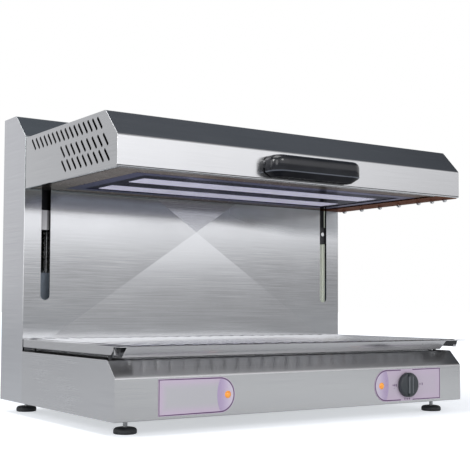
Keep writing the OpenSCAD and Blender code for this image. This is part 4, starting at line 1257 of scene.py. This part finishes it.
def set_world():
    """A studio tent: white behind, graded in front, grey above and a dark flag high on the right."""
    world = bpy.data.worlds.new("studio")
    bpy.context.scene.world = world
    world.use_nodes = True
    tree = world.node_tree
    direction = tree.nodes.new("ShaderNodeTexCoord").outputs["Generated"]
    across, ahead, height = parts_of(tree, direction)
    front = ramp(tree, height, greys((0.0, 0.36), (0.046, 0.4), (0.078, 1.12), (0.42, 1.12), (0.62, 0.5),
                                     (1.0, 0.55)))
    front_share = ramp(tree, rise(tree, ahead, -1.0, 0.0),
                       greys((0.0, 1.0), (0.12, 0.97), (0.22, 0.82), (0.3, 0.62), (0.36, 0.56), (1.0, 0.62)))
    front = tinted(tree, tinted(tree, front, front_share), (1.28, 1.28, 1.28))
    back = ramp(tree, height, greys((0.0, 1.0), (0.42, 1.0), (0.62, 0.5), (1.0, 0.55)))
    back_share = ramp(tree, rise(tree, across, -0.6, 0.4),
                      greys((0.0, 0.58), (0.17, 0.64), (0.24, 0.76), (0.55, 0.9), (0.85, 1.0)))
    back = tinted(tree, back, back_share)
    tent = blend_colours(tree, rise(tree, ahead, -0.05, 0.2), front, back)
    flag = rise(tree, measure(tree, "DOT_PRODUCT", direction, (0.6, 0.15, 0.78)), 0.84, 0.93)
    tent = blend_colours(tree, flag, tent, (0.095, 0.105, 0.12))
    tent = blend_colours(tree, side_card(tree, direction), tent, (3.0, 3.0, 3.0))
    rays = tree.nodes.new("ShaderNodeLightPath")
    in_steel = product(tree, rays.outputs["Is Glossy Ray"], back_card(tree, direction))
    tent = blend_colours(tree, in_steel, tent, (0.24, 0.25, 0.27))
    backdrop = blend_colours(tree, rays.outputs["Is Camera Ray"], tent, WHITE)
    feed(tree, tree.nodes["Background"], {"Color": backdrop, "Strength": 1.0})


def back_card(tree, direction):
    """A grey card behind on the right, seen only in the steel of the grid."""
    across, ahead, height = parts_of(tree, direction)
    return product(tree, rise(tree, across, 0.2, 0.36), rise(tree, ahead, 0.3, 0.5),
                   rise(tree, height, 0.036, 0.05), fall(tree, height, 0.4, 0.6))


def side_card(tree, direction):
    """A narrow upright card on the left that draws a bright line along the upright folds."""
    across, ahead, height = parts_of(tree, direction)
    off = math_node(tree, "ABSOLUTE", math_node(tree, "ADD", ahead, 0.42))
    low = fall(tree, math_node(tree, "ABSOLUTE", height), 0.2, 0.35)
    return product(tree, fall(tree, across, -0.6, -0.4), fall(tree, off, 0.1, 0.2), low)


def floor_finish():
    """A pale floor that keeps the shadow; it is white to the eye and graded in the steel."""
    finish, tree, shader = start_finish("pale floor", (0.8, 0.81, 0.83), 0.0, 0.9)
    rays = tree.nodes.new("ShaderNodeLightPath")
    glossy = rays.outputs["Is Glossy Ray"]
    paper = ramp(tree, noise(tree, 3), [(0.3, (0.77, 0.79, 0.83)), (0.7, (0.79, 0.81, 0.85))])
    feed(tree, shader, {"Base Color": blend_colours(tree, glossy, paper, (0.4, 0.405, 0.415)),
                        "Specular IOR Level": 0.0})
    behind = spread(tree, place_on_axis(tree, 1), 0.2, 0.26, -0.3, 0.5)
    card = measure(tree, "DISTANCE", object_place(tree), (0.68, -0.87, 0))
    in_steel = math_node(tree, "ADD", behind, spread(tree, card, 0.38, 0.0, 0.2, 1.15))
    seen = math_node(tree, "MAXIMUM", rays.outputs["Is Camera Ray"], rays.outputs["Is Transmission Ray"])
    to_eye = spread(tree, measure(tree, "LENGTH", object_place(tree)), 0.52, 0.95, 0.8, 1.6)
    share = math_node(tree, "ADD", product(tree, seen, to_eye), product(tree, glossy, in_steel))
    glow = add_node(tree, "Emission", {"Color": (0.95, 0.975, 1.0, 1), "Strength": share})
    both = add_node(tree, "AddShader", {0: shader.outputs[0], 1: glow.outputs[0]})
    feed(tree, tree.nodes["Material Output"], {"Surface": both.outputs[0]})
    return finish


def set_floor():
    """A flat floor far wider than the view."""
    bm = bmesh.new()
    bmesh.ops.create_grid(bm, x_segments=1, y_segments=1, size=30)
    mesh = mesh_of("floor", bm)
    mesh.materials.append(floor_finish())
    floor = add_object("floor", mesh)


def add_lamp(name, place, target, size, power):
    """A soft square lamp that looks at a point."""
    data = bpy.data.lights.new(name, "AREA")
    data.shape, data.size, data.energy = "SQUARE", size, power
    lamp = add_object(name, data)
    aim = (Vector(target) - Vector(place)).to_track_quat("-Z", "Y")
    lamp.matrix_world = Matrix.Translation(place) @ aim.to_matrix().to_4x4()
    lamp.visible_camera = False


def set_light():
    add_lamp("overhead", (-0.9, -0.1, 2.6), (0, 0, 0), 1.5, 24)
    add_lamp("front left", (-0.85, -2.6, 1.45), (0, -0.2, 0.45), 0.8, 14)
    add_lamp("left", (-2.6, -0.05, 1.25), (0, -0.2, 0.2), 0.6, 16)


# ---------- the machine ----------

finish_nodes()
make_head_casing()
make_base_casing()
make_column_casing()
make_under_sheet()
make_handle()
make_knob()
make_lamp("left_lamp", "left_lamp_cap")
make_lamp("right_lamp", "right_lamp_cap")
make_border("left_label", "left_label_border", 1)
knob_x = middle_of("knob").x
make_border("right_label", "right_label_border", -1, (knob_x - 16 * mm, knob_x + 16 * mm))
make_crescent("left_label", "left_crescent", 1)
make_crescent("right_label", "right_crescent", -1)
make_dial_marks()
for place in ("front_left", "front_right", "rear_left", "rear_right"):
    make_foot(place + "_foot", "foot_" + place)
make_grid()
make_gauze()

set_camera()
set_world()
set_floor()
set_light()
bpy.context.scene.view_settings.view_transform = "Standard"
